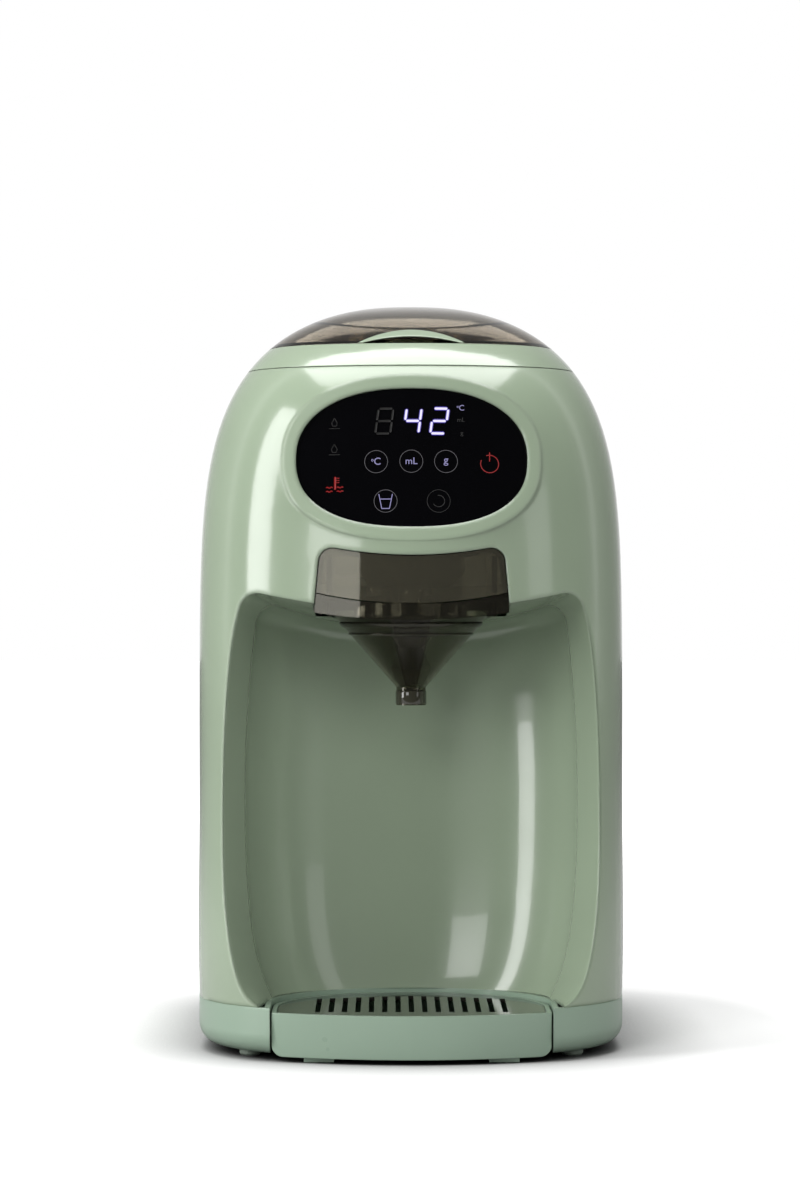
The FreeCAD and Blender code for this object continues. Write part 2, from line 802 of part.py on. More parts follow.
def powder_lid():
    half, radius = dim("lid_knuckle_half"), dim("knuckle_radius")
    back, height = dim("hinge_back"), dim("hinge_height")
    lid = dome_shell(-outside, dim("lid_rear"), dim("lid_seam"))
    link = box_between((-half, dim("lid_rear") - 6, height - radius), (half, back, height - 0.4))
    centre = Vec(0, dim("hopper_back"), dim("skirt_bottom"))
    deep = dim("skirt_top") - dim("skirt_bottom")
    skirt = Part.makeCylinder(dim("seal_outer"), deep, centre).cut(Part.makeCylinder(dim("seal_inner"), deep, centre))
    lid = lid.fuse([link, skirt.common(lid_inner), Part.makeCylinder(radius, 2 * half, Vec(-half, back, height),
                                                                     Vec(1, 0, 0))])
    bore = Part.makeCylinder(dim("hinge_pin_radius") + dim("hinge_clearance"), 60, Vec(-30, back, height),
                             Vec(1, 0, 0))
    side, arch, low = dim("notch_half_width"), dim("notch_height"), dim("lid_seam")
    notch = Part.Face(Part.Wire([
        Part.Arc(Vec(-side, -outside, low), Vec(0, -outside, low + arch), Vec(side, -outside, low)).toShape(),
        Part.LineSegment(Vec(side, -outside, low), Vec(-side, -outside, low)).toShape()]))
    notch = notch.extrude(Vec(0, outside + dim("notch_back") + 20, 0))
    return feature("powder_lid", lid.cut([bore, notch]))


def hinge_bridge():
    """The fixed slice behind the lid that carries its hinge."""
    half, end, radius = dim("lid_knuckle_half") + dim("knuckle_gap"), dim("bridge_knuckle_end"), dim("knuckle_radius")
    back, height = dim("hinge_back"), dim("hinge_height")
    bridge = dome_shell(dim("bridge_front"), dim("bridge_rear"), dim("lid_seam"))
    seat = form(dim("flange_inset"), below)
    bridge = bridge.fuse(between(seat, dim("bridge_front"), dim("flange_rear"), dim("flange_top"), 325))
    clear = box_between((-half, dim("bridge_front") - 1, height - radius - 0.7), (half, back + radius + 0.7, 360))
    bridge = bridge.cut(clear)
    pin_hole = dim("hinge_pin_radius")
    for start in (-end, half):
        solid = Part.makeCylinder(radius, end - half, Vec(start, back, height), Vec(1, 0, 0))
        bridge = bridge.fuse(solid)
    bore = Part.makeCylinder(pin_hole, 2 * end, Vec(-end, back, height), Vec(1, 0, 0))
    return feature("hinge_bridge", bridge.cut(bore))


# Water tank

def tank_shell():
    wall, front, rim = dim("tank_wall"), dim("tank_front"), dim("tank_rim")
    tank = between(outer, front, outside, dim("tank_bottom"), rim)
    void = between(lid_inner, front + wall, outside, dim("tank_floor"), 400)
    side, axis = dim("float_side"), dim("valve_back")
    collar = Part.makeCylinder(dim("collar_radius"), dim("tank_floor") - dim("collar_bottom"),
                               Vec(0, axis, dim("collar_bottom")))
    cup = Part.makeCylinder(dim("collar_bore"), dim("tank_bottom") - dim("collar_bottom"),
                            Vec(0, axis, dim("collar_bottom")))
    guide = Part.makeCylinder(dim("guide_radius"), dim("guide_top") - dim("tank_floor"),
                              Vec(side, axis, dim("tank_floor")))
    cap = Part.makeCylinder(dim("guide_cap_radius"), dim("guide_cap_height"), Vec(side, axis, dim("guide_top")))
    ears = []
    half, end, radius = dim("tank_knuckle_half") + dim("knuckle_gap"), dim("tank_ear_end"), dim("tank_knuckle_radius")
    back, height = dim("tank_hinge_back"), dim("tank_hinge_height")
    for start in (-end, half):
        ears.append(Part.makeCylinder(radius, end - half, Vec(start, back, height), Vec(1, 0, 0)))
        ears.append(box_between((start, back - 6, height - radius), (start + end - half, back, height - 0.3)))
    tank = tank.cut(void).fuse([collar, guide, cap] + ears).cut(cup)
    cuts = [Part.makeCylinder(dim("hinge_pin_radius"), 2 * end, Vec(-end, back, height), Vec(1, 0, 0)),
            Part.makeCylinder(dim("valve_stem_radius") + dim("shaft_clearance"), 20, Vec(0, axis, 90))]
    for step in range(int(dim("water_port_count"))):
        angle = 2 * math.pi * step / dim("water_port_count")
        ring = dim("water_port_ring")
        cuts.append(Part.makeCylinder(dim("water_port_radius"), 20,
                                      Vec(ring * math.cos(angle), axis + ring * math.sin(angle), 90)))
    return feature("tank_shell", tank.cut(cuts))


def tank_lid():
    half, radius = dim("tank_knuckle_half"), dim("tank_knuckle_radius")
    back, height = dim("tank_hinge_back"), dim("tank_hinge_height")
    lid = dome_shell(dim("tank_front"), outside, dim("tank_lid_bottom"))
    link = box_between((-half, back - 9, height + 0.3), (half, back, height + radius))
    lid = lid.fuse([link, Part.makeCylinder(radius, 2 * half, Vec(-half, back, height), Vec(1, 0, 0))])
    clear = dim("hinge_pin_radius") + dim("hinge_clearance")
    lid = lid.cut(Part.makeCylinder(clear, 2 * half, Vec(-half, back, height), Vec(1, 0, 0)))
    for start in (-dim("tank_ear_end") - 0.4, half + 0.1):
        room = Part.makeCylinder(radius + 0.5, dim("tank_ear_end") - half + 0.3, Vec(start, back, height), Vec(1, 0, 0))
        lid = lid.cut(room)
    return feature("tank_lid", lid)


# Funnel drawer

def funnel_cover():
    """The smoked front and sides of the drawer, open behind and above its middle."""
    front, band, rear = -outside, dim("front_band"), dim("drawer_rear")
    low = (seam_arc[0] + dim("drawer_gap"), seam_arc[1] + dim("drawer_gap"))
    corner = dim("cover_corner")
    face = drawer_prism(0, low, cover_arc, front, band, corner).common(outer)
    thin = form(dim("cover_wall"), below)
    open_below = (low[0] - 10, low[1] - 10)
    face = face.cut(drawer_prism(-dim("cover_wall"), open_below, cover_arc, front, band,
                                 corner - dim("cover_wall")).common(thin))
    half, wall = dim("slide_half_width"), dim("cover_wall")
    sides = [box_between((sign * half - (wall if sign > 0 else 0), front, seam_arc[1] + 0.4),
                         (sign * half + (0 if sign > 0 else wall), rear, dim("cover_top_middle"))) for sign in (-1, 1)]
    sides = [side.common(outer) for side in sides]
    return feature("funnel_cover", face.fuse(sides))


def funnel_bowl():
    front, band, rear = -outside, dim("front_band"), dim("drawer_rear")
    band_solid = drawer_prism(0, flange_arc, seam_arc, front, band).common(outer)
    half, low, top = dim("slide_half_width"), dim("bowl_rim"), dim("bowl_top")
    plate = box_between((-half, band, low), (half, rear, top - 2))
    runners = [box_between((sign * (half + dim("runner_reach") / 2) - dim("runner_reach") / 2 - 0.2 * (sign > 0),
                            dim("runner_front"), dim("runner_bottom")),
                           (sign * (half + dim("runner_reach") / 2) + dim("runner_reach") / 2 + 0.2 * (sign < 0),
                            rear, dim("runner_bottom") + dim("runner_height"))) for sign in (-1, 1)]
    spout_z, wide, narrow = dim("spout_top"), dim("bowl_radius"), dim("spout_radius")
    centre = dim("spout_back")
    cone = Part.makeCone(narrow, wide, low - spout_z + 0.5, Vec(0, centre, spout_z))
    spout = Part.makeCylinder(narrow, spout_z - dim("spout_bottom"), Vec(0, centre, dim("spout_bottom")))
    wall, bore = dim("bowl_wall"), dim("spout_bore")
    hollow_cone = Part.makeCone(bore, wide - wall, low - spout_z, Vec(0, centre, spout_z))
    mouth = Part.makeCylinder(wide - wall, 30, Vec(0, centre, low))
    through = Part.makeCylinder(bore, 40, Vec(0, centre, dim("spout_bottom") - 5))
    bowl = band_solid.fuse([plate] + runners + [cone, spout]).cut([hollow_cone, mouth, through])
    return feature("funnel_bowl", bowl)


# Powder hopper

def hopper_flange():
    flat = between(form(dim("flange_inset"), below), -outside, dim("flange_rear"), dim("flange_bottom"),
                   dim("flange_top"))
    hole = Part.makeCylinder(dim("hopper_radius") - 1, 40, Vec(0, dim("hopper_back"), 300))
    return flat.cut(hole)


def hopper_shell():
    outside_radius, wall = dim("hopper_radius"), dim("hopper_wall")
    chamber, top = dim("wheel_chamber_radius"), dim("flange_top")
    low, cone_low, cone_top = dim("hopper_bottom"), dim("hopper_cone_bottom"), dim("hopper_cone_top")
    corners = [(chamber - wall, low), (chamber, low), (chamber, cone_low), (outside_radius, cone_top),
               (outside_radius, top), (outside_radius - wall, top), (outside_radius - wall, cone_top),
               (chamber - wall, cone_low)]
    wire = Part.makePolygon([Vec(r, 0, z) for r, z in corners + corners[:1]])
    tub = Part.Face(wire).revolve(Vec(), Vec(0, 0, 1), 360)
    tub.translate(Vec(0, dim("hopper_back"), 0))
    return feature("hopper_shell", tub.fuse(hopper_flange()))


def gear(teeth, width, bore, base, turn):
    """A spur gear with involute flanks, turned so that its mate's teeth meet its gaps."""
    module = dim("gear_module")
    pressure = math.radians(20)
    pitch = module * teeth / 2
    root, tip, base_circle = pitch - 1.25 * module, pitch + module, pitch * math.cos(pressure)

    def involute(radius):
        angle = math.acos(min(1, base_circle / radius))
        return math.tan(angle) - angle

    def half_tooth(radius):
        radius = max(radius, base_circle)
        backlash = dim("gear_backlash") / (4 * pitch)
        return math.pi / (2 * teeth) + involute(pitch) - involute(radius) - backlash

    radii = [root] + [max(root, base_circle) + (tip - max(root, base_circle)) * k / 4 for k in range(5)]
    points = []
    for tooth in range(int(teeth)):
        middle = 2 * math.pi * tooth / teeth + turn
        flank = [(radius, half_tooth(radius)) for radius in radii]
        for radius, angle in [(r, -a) for r, a in flank] + list(reversed(flank)):
            points.append(base + Vec(radius * math.cos(middle + angle), radius * math.sin(middle + angle), 0))
    disc = Part.Face(Part.makePolygon(points + points[:1])).extrude(Vec(0, 0, width))
    return disc.cut(Part.makeCylinder(bore, width, base))


def tube(label, points, radius, bore):
    """A hose along straight runs joined by tangent arcs."""
    edges, start = [], points[0]
    for before, corner, after in zip(points, points[1:], points[2:]):
        into, out = (corner - before).normalize(), (after - corner).normalize()
        turn = math.acos(into.dot(out))
        reach = 0.45 * min((corner - before).Length, (after - corner).Length)
        bend = reach / math.tan(turn / 2)
        first, last = corner - into * reach, corner + out * reach
        bisect = (out - into).normalize()
        middle = corner + bisect * (bend / math.cos(turn / 2) - bend)
        edges.append(Part.LineSegment(start, first).toShape())
        edges.append(Part.Arc(first, middle, last).toShape())
        start = last
        print(label, "bend radius", round(bend, 1))
    edges.append(Part.LineSegment(start, points[-1]).toShape())
    path = Part.Wire(edges)
    direction = (points[1] - points[0]).normalize()
    rings = [Part.Wire(Part.Circle(points[0], direction, size).toShape()) for size in (radius, bore)]
    thick, thin = (path.makePipeShell([ring], True, False) for ring in rings)
    return feature(label, thick.cut(thin))


# Pieces built from bound primitives and turned or padded bodies

def feet_and_screws():
    for side in (-1, 1):
        word = "left" if side < 0 else "right"
        for end in ("front", "rear"):
            radius, height = end + "_foot_radius", "pan_bottom"
            foot = turned(f"{end}_foot_{word}", [("0", "0"), (radius + " - 0.8", "0"), (radius, "0.8"),
                                                 (radius, height), ("0", height)],
                          (f"{side} * {end}_foot_side", end + "_foot_back", 0))
            keep(foot, f"{end}_foot_{word}")
        for end, x, y in (("front", "boss_side", "boss_front"), ("rear", "boss_corner_side", "boss_corner_back")):
            seat = "pan_bottom + screw_hole_depth"
            screw = turned(f"{end}_screw_{word}", [
                ("0", seat + " - screw_head_height"), ("screw_head_radius", seat + " - screw_head_height"),
                ("screw_head_radius", seat), ("screw_radius", seat), ("screw_radius", "screw_length"),
                ("0", "screw_length")], (f"{side} * {x}", y, 0))
            keep(screw, f"{end}_screw_{word}")


def tray_pan():
    low, high, wall = dim("tray_bottom"), dim("tray_top"), dim("tray_wall")
    inset = dim("tray_front_inset")
    pan = tray_solid(low, high, 0, inset, dim("tray_corner")).cut(tray_solid(low + wall, high + 1, -wall, inset + wall))
    ledge_top = high - dim("plate_thickness") - dim("plate_lift")
    ledge = tray_solid(ledge_top - 2, ledge_top, -wall / 2, inset + wall / 2)
    ledge = ledge.cut(tray_solid(0, 40, -dim("plate_ledge") - wall, inset + dim("plate_ledge") + wall))
    pads = []
    for side in (-1, 1):
        inner_edge = side * dim("tray_pad_inner")
        outer_edge = inner_edge + side * dim("tray_pad_width")
        for y in (dim("tray_pad_front"), dim("tray_pad_rear")):
            pads.append(box_between((min(inner_edge, outer_edge), y, dim("tray_pad_bottom")),
                                    (max(inner_edge, outer_edge), y + dim("tray_pad_length"), low + 0.2)))
    return feature("tray_pan", pan.fuse([ledge] + pads))


def tray_plate():
    high, wall = dim("tray_top"), dim("tray_wall") + dim("plate_gap")
    low = high - dim("plate_thickness")
    plate = tray_solid(low, high, -wall, dim("tray_front_inset") + wall)
    slots = []
    width, front, rear = dim("drain_width"), dim("drain_front"), dim("drain_rear")
    for step in range(int(dim("drain_count"))):
        x = (step - (dim("drain_count") - 1) / 2) * dim("drain_pitch")
        end = rear - abs(x) * 0.25
        slots.append(box_between((x - width / 2, front, low - 1), (x + width / 2, end, high + 1)))
    return feature("tray_plate", plate.cut(slots))


def panel_pieces():
    back = panel_bow(dim("panel_thickness") - 0.1)
    feature("panel_lens", panel_prism(0, 0, 20).common(panel_bow(0)).cut(back), panel_frame)
    width, tall, deep = (dim("display_board_" + side) for side in ("width", "height", "depth"))
    board = box_between((-width / 2, deep, -tall / 2), (width / 2, deep + dim("board_thickness"), tall / 2))
    feature("display_board", board, panel_frame)
    half, up = dim("display_width") / 2, dim("display_height") / 2
    shift, front = dim("display_shift"), dim("panel_thickness") + 1.6
    module = box_between((-half, front, shift - up), (half, deep, shift + up))
    feature("display_module", module, panel_frame)
    for index in (1, 2, 3):
        middle = Vec((index - 2) * dim("key_pitch"), front, -dim("key_drop") - 1)
        spring = Part.makeCylinder(dim("key_radius"), deep - front, middle, Vec(0, 1, 0))
        feature(f"key_spring_{index}", spring, panel_frame)


def swirl_insert():
    corners = [("insert_bore", "insert_bottom"), ("insert_bottom_radius", "insert_bottom"),
               ("insert_belly_radius", "insert_belly_height"), ("insert_neck_radius", "insert_neck_height"),
               ("insert_top_radius", "insert_top"), ("insert_bore", "insert_top")]
    keep(turned("swirl_insert", corners, (0, "spout_back", 0)), "swirl_insert")


def rails():
    inner_side = "slide_half_width + rail_gap"
    groove_side = "slide_half_width + runner_reach + rail_gap + 0.2"
    for side in (-1, 1):
        word = "left" if side < 0 else "right"
        low_corner = inner_side if side > 0 else f"-({inner_side}) - rail_width"
        bar = block(f"rail_bar_{word}", ("rail_width", "drawer_rear - runner_front", "rail_height"),
                    (low_corner, "runner_front", "rail_bottom"))
        groove_corner = "0" if side > 0 else f"-({groove_side})"
        groove = block(f"rail_groove_{word}", (groove_side, "drawer_rear - runner_front + 2",
                                               "runner_height + 2 * rail_gap"),
                       (groove_corner, "runner_front - 1", "runner_bottom - rail_gap"))
        keep(carved(f"funnel_rail_{word}", bar, groove), f"funnel_rail_{word}")


def seat_and_block():
    seat = between(form(dim("wall") + 0.1, below), dim("seat_front"), dim("seat_rear"), dim("seat_bottom"),
                   dim("seat_bottom") + dim("seat_thickness"))
    axis, offset = dim("hopper_back"), dim("outlet_offset")
    distance = dim("gear_module") * (dim("gear_teeth") + dim("pinion_teeth")) / 2
    low = dim("seat_bottom") - 1
    holes = [Part.makeCylinder(dim("drive_shaft_radius") + dim("shaft_clearance"), 6, Vec(0, axis, low)),
             Part.makeCylinder(dim("pinion_shaft_radius") + dim("shaft_clearance"), 6, Vec(0, axis + distance, low)),
             Part.makeCylinder(dim("chute_radius") + 1, 6, Vec(0, axis - offset, low))]
    feature("hopper_seat", seat.cut(holes))
    half, cut = "block_half_width", "block_chamfer"
    top = "seat_bottom"
    body = padded("block_body", "XZ_Plane", [
        (f"-{half}", top), (f"-{half}", f"block_bottom + {cut}"), (f"-{half} + {cut}", "block_bottom"),
        (f"{half} - {cut}", "block_bottom"), (half, f"block_bottom + {cut}"), (half, top)],
        "block_rear - block_front", (0, "block_rear", 0))
    chute = rod("block_chute", "outlet_radius", "30", ("0", "hopper_back - outlet_offset", "block_bottom - 5"))
    stub = rod("block_stub", "port_radius", "port_length", ("nozzle_side", "block_rear", "water_height"), "y")
    water = rod("block_water", "nozzle_bore", "60", ("nozzle_side", "nozzle_back", "water_height"), "y")
    drop = rod("block_drop", "nozzle_radius", "water_height - block_bottom + 5",
               ("nozzle_side", "nozzle_back", "block_bottom - 5"))
    keep(carved("outlet_block", joined("block_solid", body, stub), chute, water, drop), "outlet_block")
    keep(turned("outlet_nozzle", [("nozzle_bore", "nozzle_bottom"), ("nozzle_radius", "nozzle_bottom"),
                                  ("nozzle_radius", "water_height - nozzle_bore"),
                                  ("nozzle_bore", "water_height - nozzle_bore")],
                ("nozzle_side", "nozzle_back", 0)), "outlet_nozzle")


def hopper_pieces():
    centre = (0, "hopper_back", 0)
    plate = turned("base_plate", [("0", "base_bottom"), ("wheel_chamber_radius", "base_bottom"),
                                  ("wheel_chamber_radius", "hopper_bottom"), ("0", "hopper_bottom")], centre)
    chute = rod("base_chute", "chute_radius", "base_bottom - chute_bottom + 1",
                ("0", "hopper_back - outlet_offset", "chute_bottom"))
    outlet = rod("base_outlet", "outlet_radius", "30", ("0", "hopper_back - outlet_offset", "chute_bottom - 5"))
    shaft_hole = rod("base_shaft_hole", "hub_radius - 1.5", "20", ("0", "hopper_back", "base_bottom - 5"))
    keep(carved("dosing_base", joined("base_solid", plate, chute), outlet, shaft_hole), "dosing_base")
    keep(turned("hopper_seal", [("seal_inner", "flange_top"), ("seal_outer", "flange_top"),
                                ("seal_outer", "seal_top"), ("seal_inner", "seal_top")], centre), "hopper_seal")
    disc = rod("wheel_disc", "wheel_radius", "wheel_height", ("0", "hopper_back", "wheel_bottom"))
    hub = rod("wheel_hub", "hub_radius", "hub_top - wheel_bottom", ("0", "hopper_back", "wheel_bottom"))
    socket = block("wheel_socket", ("socket_side", "socket_side", "socket_depth"),
                   ("-socket_side / 2", "hopper_back - socket_side / 2", "wheel_bottom"))
    pockets = []
    for step in range(int(dim("pocket_count"))):
        angle = 360 * step / dim("pocket_count") - 90
        pockets.append(rod(f"pocket_{step}", "pocket_radius", "wheel_height + 2",
                           (f"outlet_offset * cos({angle} deg)",
                            f"hopper_back + outlet_offset * sin({angle} deg)", "wheel_bottom - 1")))
    keep(carved("dosing_wheel", joined("wheel_solid", disc, hub), socket, *pockets), "dosing_wheel")
    arm_low = "hub_top"
    collar = rod("stirrer_collar", "hub_radius", "arm_height + 4", ("0", "hopper_back", arm_low))
    arm = block("stirrer_arm", ("2 * arm_length", "arm_width", "arm_height"),
                ("-arm_length", "hopper_back - arm_width / 2", "blade_bottom - arm_height"))
    blades = [block(f"stirrer_blade_{word}", ("blade_thickness", "arm_width", "blade_height"),
                    (corner, "hopper_back - arm_width / 2", "blade_bottom - 0.2"))
              for word, corner in (("left", "-arm_length"), ("right", "arm_length - blade_thickness"))]
    keep(joined("stirrer", collar, arm, *blades), "stirrer")
    pin = rod("powder_hinge_pin", "hinge_pin_radius", "2 * bridge_knuckle_end",
              ("-bridge_knuckle_end", "hinge_back", "hinge_height"), "x")
    keep(pin, "powder_hinge_pin")


def dosing_drive():
    axis = dim("hopper_back")
    teeth, small = dim("gear_teeth"), dim("pinion_teeth")
    distance = dim("gear_module") * (teeth + small) / 2
    width, low = dim("gear_width"), dim("gear_bottom")
    feature("drive_gear", gear(teeth, width, dim("drive_shaft_radius"), Vec(0, axis, low), math.pi / 2))
    pinion = gear(small, width, 0.5, Vec(0, axis + distance, low), -math.pi / 2 + math.pi / small)
    shaft = Part.makeCylinder(dim("pinion_shaft_radius"), low + width + 12 - dim("seat_bottom"),
                              Vec(0, axis + distance, dim("seat_bottom") - 12))
    feature("motor_pinion", pinion.fuse(shaft))
    pinion_back = "hopper_back + gear_module * (gear_teeth + pinion_teeth) / 2"
    stem = rod("shaft_stem", "drive_shaft_radius", "base_bottom - seat_bottom + 3.4",
               ("0", "hopper_back", "seat_bottom - 3"))
    dog = block("shaft_dog", ("dog_side", "dog_side", "wheel_bottom + socket_depth - base_bottom - 0.8"),
                ("-dog_side / 2", "hopper_back - dog_side / 2", "base_bottom + 0.3"))
    keep(joined("drive_shaft", stem, dog), "drive_shaft")
    can = rod("motor_can", "motor_radius", "motor_length", ("0", pinion_back, "seat_bottom - motor_length"))
    bore = rod("motor_bore", "pinion_shaft_radius + shaft_clearance", "motor_length",
               ("0", pinion_back, "seat_bottom - motor_length + 6"))
    keep(carved("dose_motor", can, bore), "dose_motor")
    plate = block("plate_bar", ("36", f"{pinion_back} - hopper_back + 30", "gear_plate_thickness"),
                  ("-18", "hopper_back - 12", "gear_plate_bottom"))
    posts = [block(f"plate_post_{word}", ("4", "8", "gear_plate_bottom - seat_bottom - seat_thickness + 0.2"),
                   (corner, f"{pinion_back} + 10", "seat_bottom + seat_thickness"))
             for word, corner in (("left", "-18"), ("right", "14"))]
    shaft_hole = rod("plate_shaft_hole", "drive_shaft_radius + shaft_clearance", "10",
                     ("0", "hopper_back", "gear_plate_bottom - 4"))
    keep(carved("gear_plate", joined("plate_solid", plate, *posts), shaft_hole), "gear_plate")


def tank_pieces():
    axis = (0, "valve_back", 0)
    keep(turned("valve_plunger", [
        ("0", "valve_stem_bottom"), ("valve_stem_radius", "valve_stem_bottom"),
        ("valve_stem_radius", "valve_head_bottom"), ("valve_head_radius", "valve_head_bottom"),
        ("valve_head_radius", "valve_head_bottom + valve_head_height"),
        ("0", "valve_head_bottom + valve_head_height")], axis), "valve_plunger")
    can = turned("filter_can", [
        ("cage_radius - cage_wall", "tank_floor"), ("cage_radius", "tank_floor"), ("cage_radius", "cage_top"),
        ("0", "cage_top"), ("0", "cage_top - cage_wall"), ("cage_radius - cage_wall", "cage_top - cage_wall")], axis)
    slots = [block(f"filter_slot_{way}", size, corner) for way, size, corner in (
        ("x", ("4 * cage_radius", "cage_slot", "cage_top - tank_floor - 8"),
         ("-2 * cage_radius", "valve_back - cage_slot / 2", "tank_floor + 4")),
        ("y", ("cage_slot", "4 * cage_radius", "cage_top - tank_floor - 8"),
         ("-cage_slot / 2", "valve_back - 2 * cage_radius", "tank_floor + 4")))]
    keep(carved("tank_filter", can, *slots), "tank_filter")
    keep(turned("level_float", [("float_bore", "0"), ("float_radius", "0"), ("float_radius", "float_height"),
                                ("float_bore", "float_height")],
                ("float_side", "valve_back", "float_bottom")), "level_float")
    keep(rod("tank_hinge_pin", "hinge_pin_radius", "2 * tank_ear_end",
             ("-tank_ear_end", "tank_hinge_back", "tank_hinge_height"), "x"), "tank_hinge_pin")
    port = "dock_bottom - port_length"
    dock = turned("dock_cup", [
        ("0", port), ("port_radius", port), ("port_radius", "dock_bottom"), ("dock_radius", "dock_bottom"),
        ("dock_radius", "platform"), ("dock_bore", "platform"), ("dock_bore", "dock_floor"),
        ("post_radius", "dock_floor"), ("post_radius", "post_top"), ("0", "post_top")], axis)
    keep(dock, "tank_dock")
    keep(turned("dock_seal", [("dock_seal_inner", "dock_seal_bottom"), ("dock_bore", "dock_seal_bottom"),
                              ("dock_bore", "dock_seal_bottom + dock_seal_height"),
                              ("dock_seal_inner", "dock_seal_bottom + dock_seal_height")], axis), "dock_seal")


def pump_and_heater():
    side, back, up = "pump_side", "valve_back", "pump_height"
    head = rod("pump_head", "pump_head_radius", "pump_head_length", (side, back, up), "x")
    inlet = rod("pump_inlet", "port_radius", "port_length", (f"{side} - port_length", back, up), "x")
    outlet = rod("pump_outlet", "port_radius", "pump_head_radius + port_length",
                 (f"{side} + pump_head_length / 2", f"{back} - pump_head_radius - port_length", up), "y")
    keep(joined("pump_body", head, inlet, outlet), "pump_body")
    can = rod("pump_can", "pump_motor_radius", "pump_motor_length", (f"{side} + pump_head_length", back, up), "x")
    foot = block("pump_foot", ("12", "24", f"{up} - pan_bottom - wall"),
                 (f"{side} + pump_head_length + 7", f"{back} - 12", "pan_bottom + wall"))
    keep(joined("pump_motor", can, foot), "pump_motor")
    place_at = ("heater_side", "heater_back", "heater_bottom")
    can = rod("heater_can", "heater_radius", "heater_length", place_at)
    flanges = [rod(f"heater_flange_{word}", "heater_flange_radius", "heater_flange_height",
                   ("heater_side", "heater_back", low))
               for word, low in (("low", "heater_bottom"), ("high", "heater_bottom + heater_length"))]
    feed = rod("heater_inlet", "port_radius", "heater_radius + port_length",
               ("heater_side", "heater_back", "pump_height"), "x")
    riser = rod("heater_outlet", "port_radius", "port_length + heater_flange_height",
                ("heater_side", "heater_back", "heater_bottom + heater_length"))
    leg = block("heater_leg", ("20", "20", "heater_bottom - pan_bottom - wall"),
                ("heater_side - 10", "heater_back - 10", "pan_bottom + wall"))
    keep(joined("heater_body", can, *flanges, feed, riser, leg), "heater_body")
    radius, bore = dim("hose_radius"), dim("hose_bore")
    pump_x, pump_y, pump_z = dim("pump_side"), dim("valve_back"), dim("pump_height")
    heater = Vec(dim("heater_side"), dim("heater_back"), 0)
    seat = 1.0
    tube("inlet_hose", [Vec(0, pump_y, dim("dock_bottom") - seat), Vec(0, pump_y, pump_z),
                        Vec(pump_x - seat, pump_y, pump_z)], radius, bore)
    outlet_x = pump_x + dim("pump_head_length") / 2
    tube("pump_hose", [Vec(outlet_x, pump_y - dim("pump_head_radius") - seat, pump_z),
                       Vec(outlet_x, heater.y, pump_z),
                       Vec(heater.x + dim("heater_radius") + seat, heater.y, pump_z)], radius, bore)
    top = dim("heater_bottom") + dim("heater_length") + dim("heater_flange_height")
    water, nozzle = dim("water_height"), dim("nozzle_side")
    tube("outlet_hose", [Vec(heater.x, heater.y, top + seat), Vec(heater.x, heater.y, water),
                         Vec(nozzle, dim("hose_turn_back"), water), Vec(nozzle, dim("block_rear") + seat, water)],
         radius, bore)


def electronics():
    keep(block("main_board", ("board_width", "board_thickness", "board_height"),
               ("-board_width / 2", "board_back", "board_bottom")), "main_board")
    front = "board_back - transformer_size"
    core = block("transformer", ("transformer_size + 4", "transformer_size", "transformer_size"),
                 ("board_width / 2 - transformer_size - 12", front, "board_bottom + 10"))
    keep(core, "transformer")


def cord_gland():
    keep(turned("cord_gland", [
        ("gland_bore", "-gland_length"), ("gland_radius", "-gland_length"), ("gland_radius", "0"),
        ("gland_flange_radius", "0"), ("gland_flange_radius", "gland_flange_thickness"),
        ("gland_bore", "gland_flange_thickness")],
        ("gland_side", "gland_back", "gland_height"), turns["y"]), "cord_gland")


for build in (front_housing, bay_liner, rear_housing, base_pan, top_frame, powder_lid, hinge_bridge, tank_shell,
              tank_lid, funnel_cover, funnel_bowl, hopper_shell, feet_and_screws, tray_pan, tray_plate,
              panel_pieces, swirl_insert, rails, seat_and_block, hopper_pieces, dosing_drive, tank_pieces,
              pump_and_heater, electronics, cord_gland):
    build()
doc.recompute()

for made in doc.Objects:
    if "Invalid" in made.State or "Error" in made.State:
        raise RuntimeError(f"{made.Name} is {made.State}")
for made in pieces:
    if made.Shape.isNull() or not made.Shape.isValid():
        raise RuntimeError(f"{made.Label} has no valid shape")
    print(made.Label, len(made.Shape.Solids), len(made.Shape.Faces), round(made.Shape.Volume / 1000, 1))

os.makedirs("parts", exist_ok=True)
for made in pieces:
    made.Shape.exportStep(f"parts/{made.Label}.step")
print(len(pieces), "sub-parts")
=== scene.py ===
import math

import bpy
from mathutils import Matrix, Vector


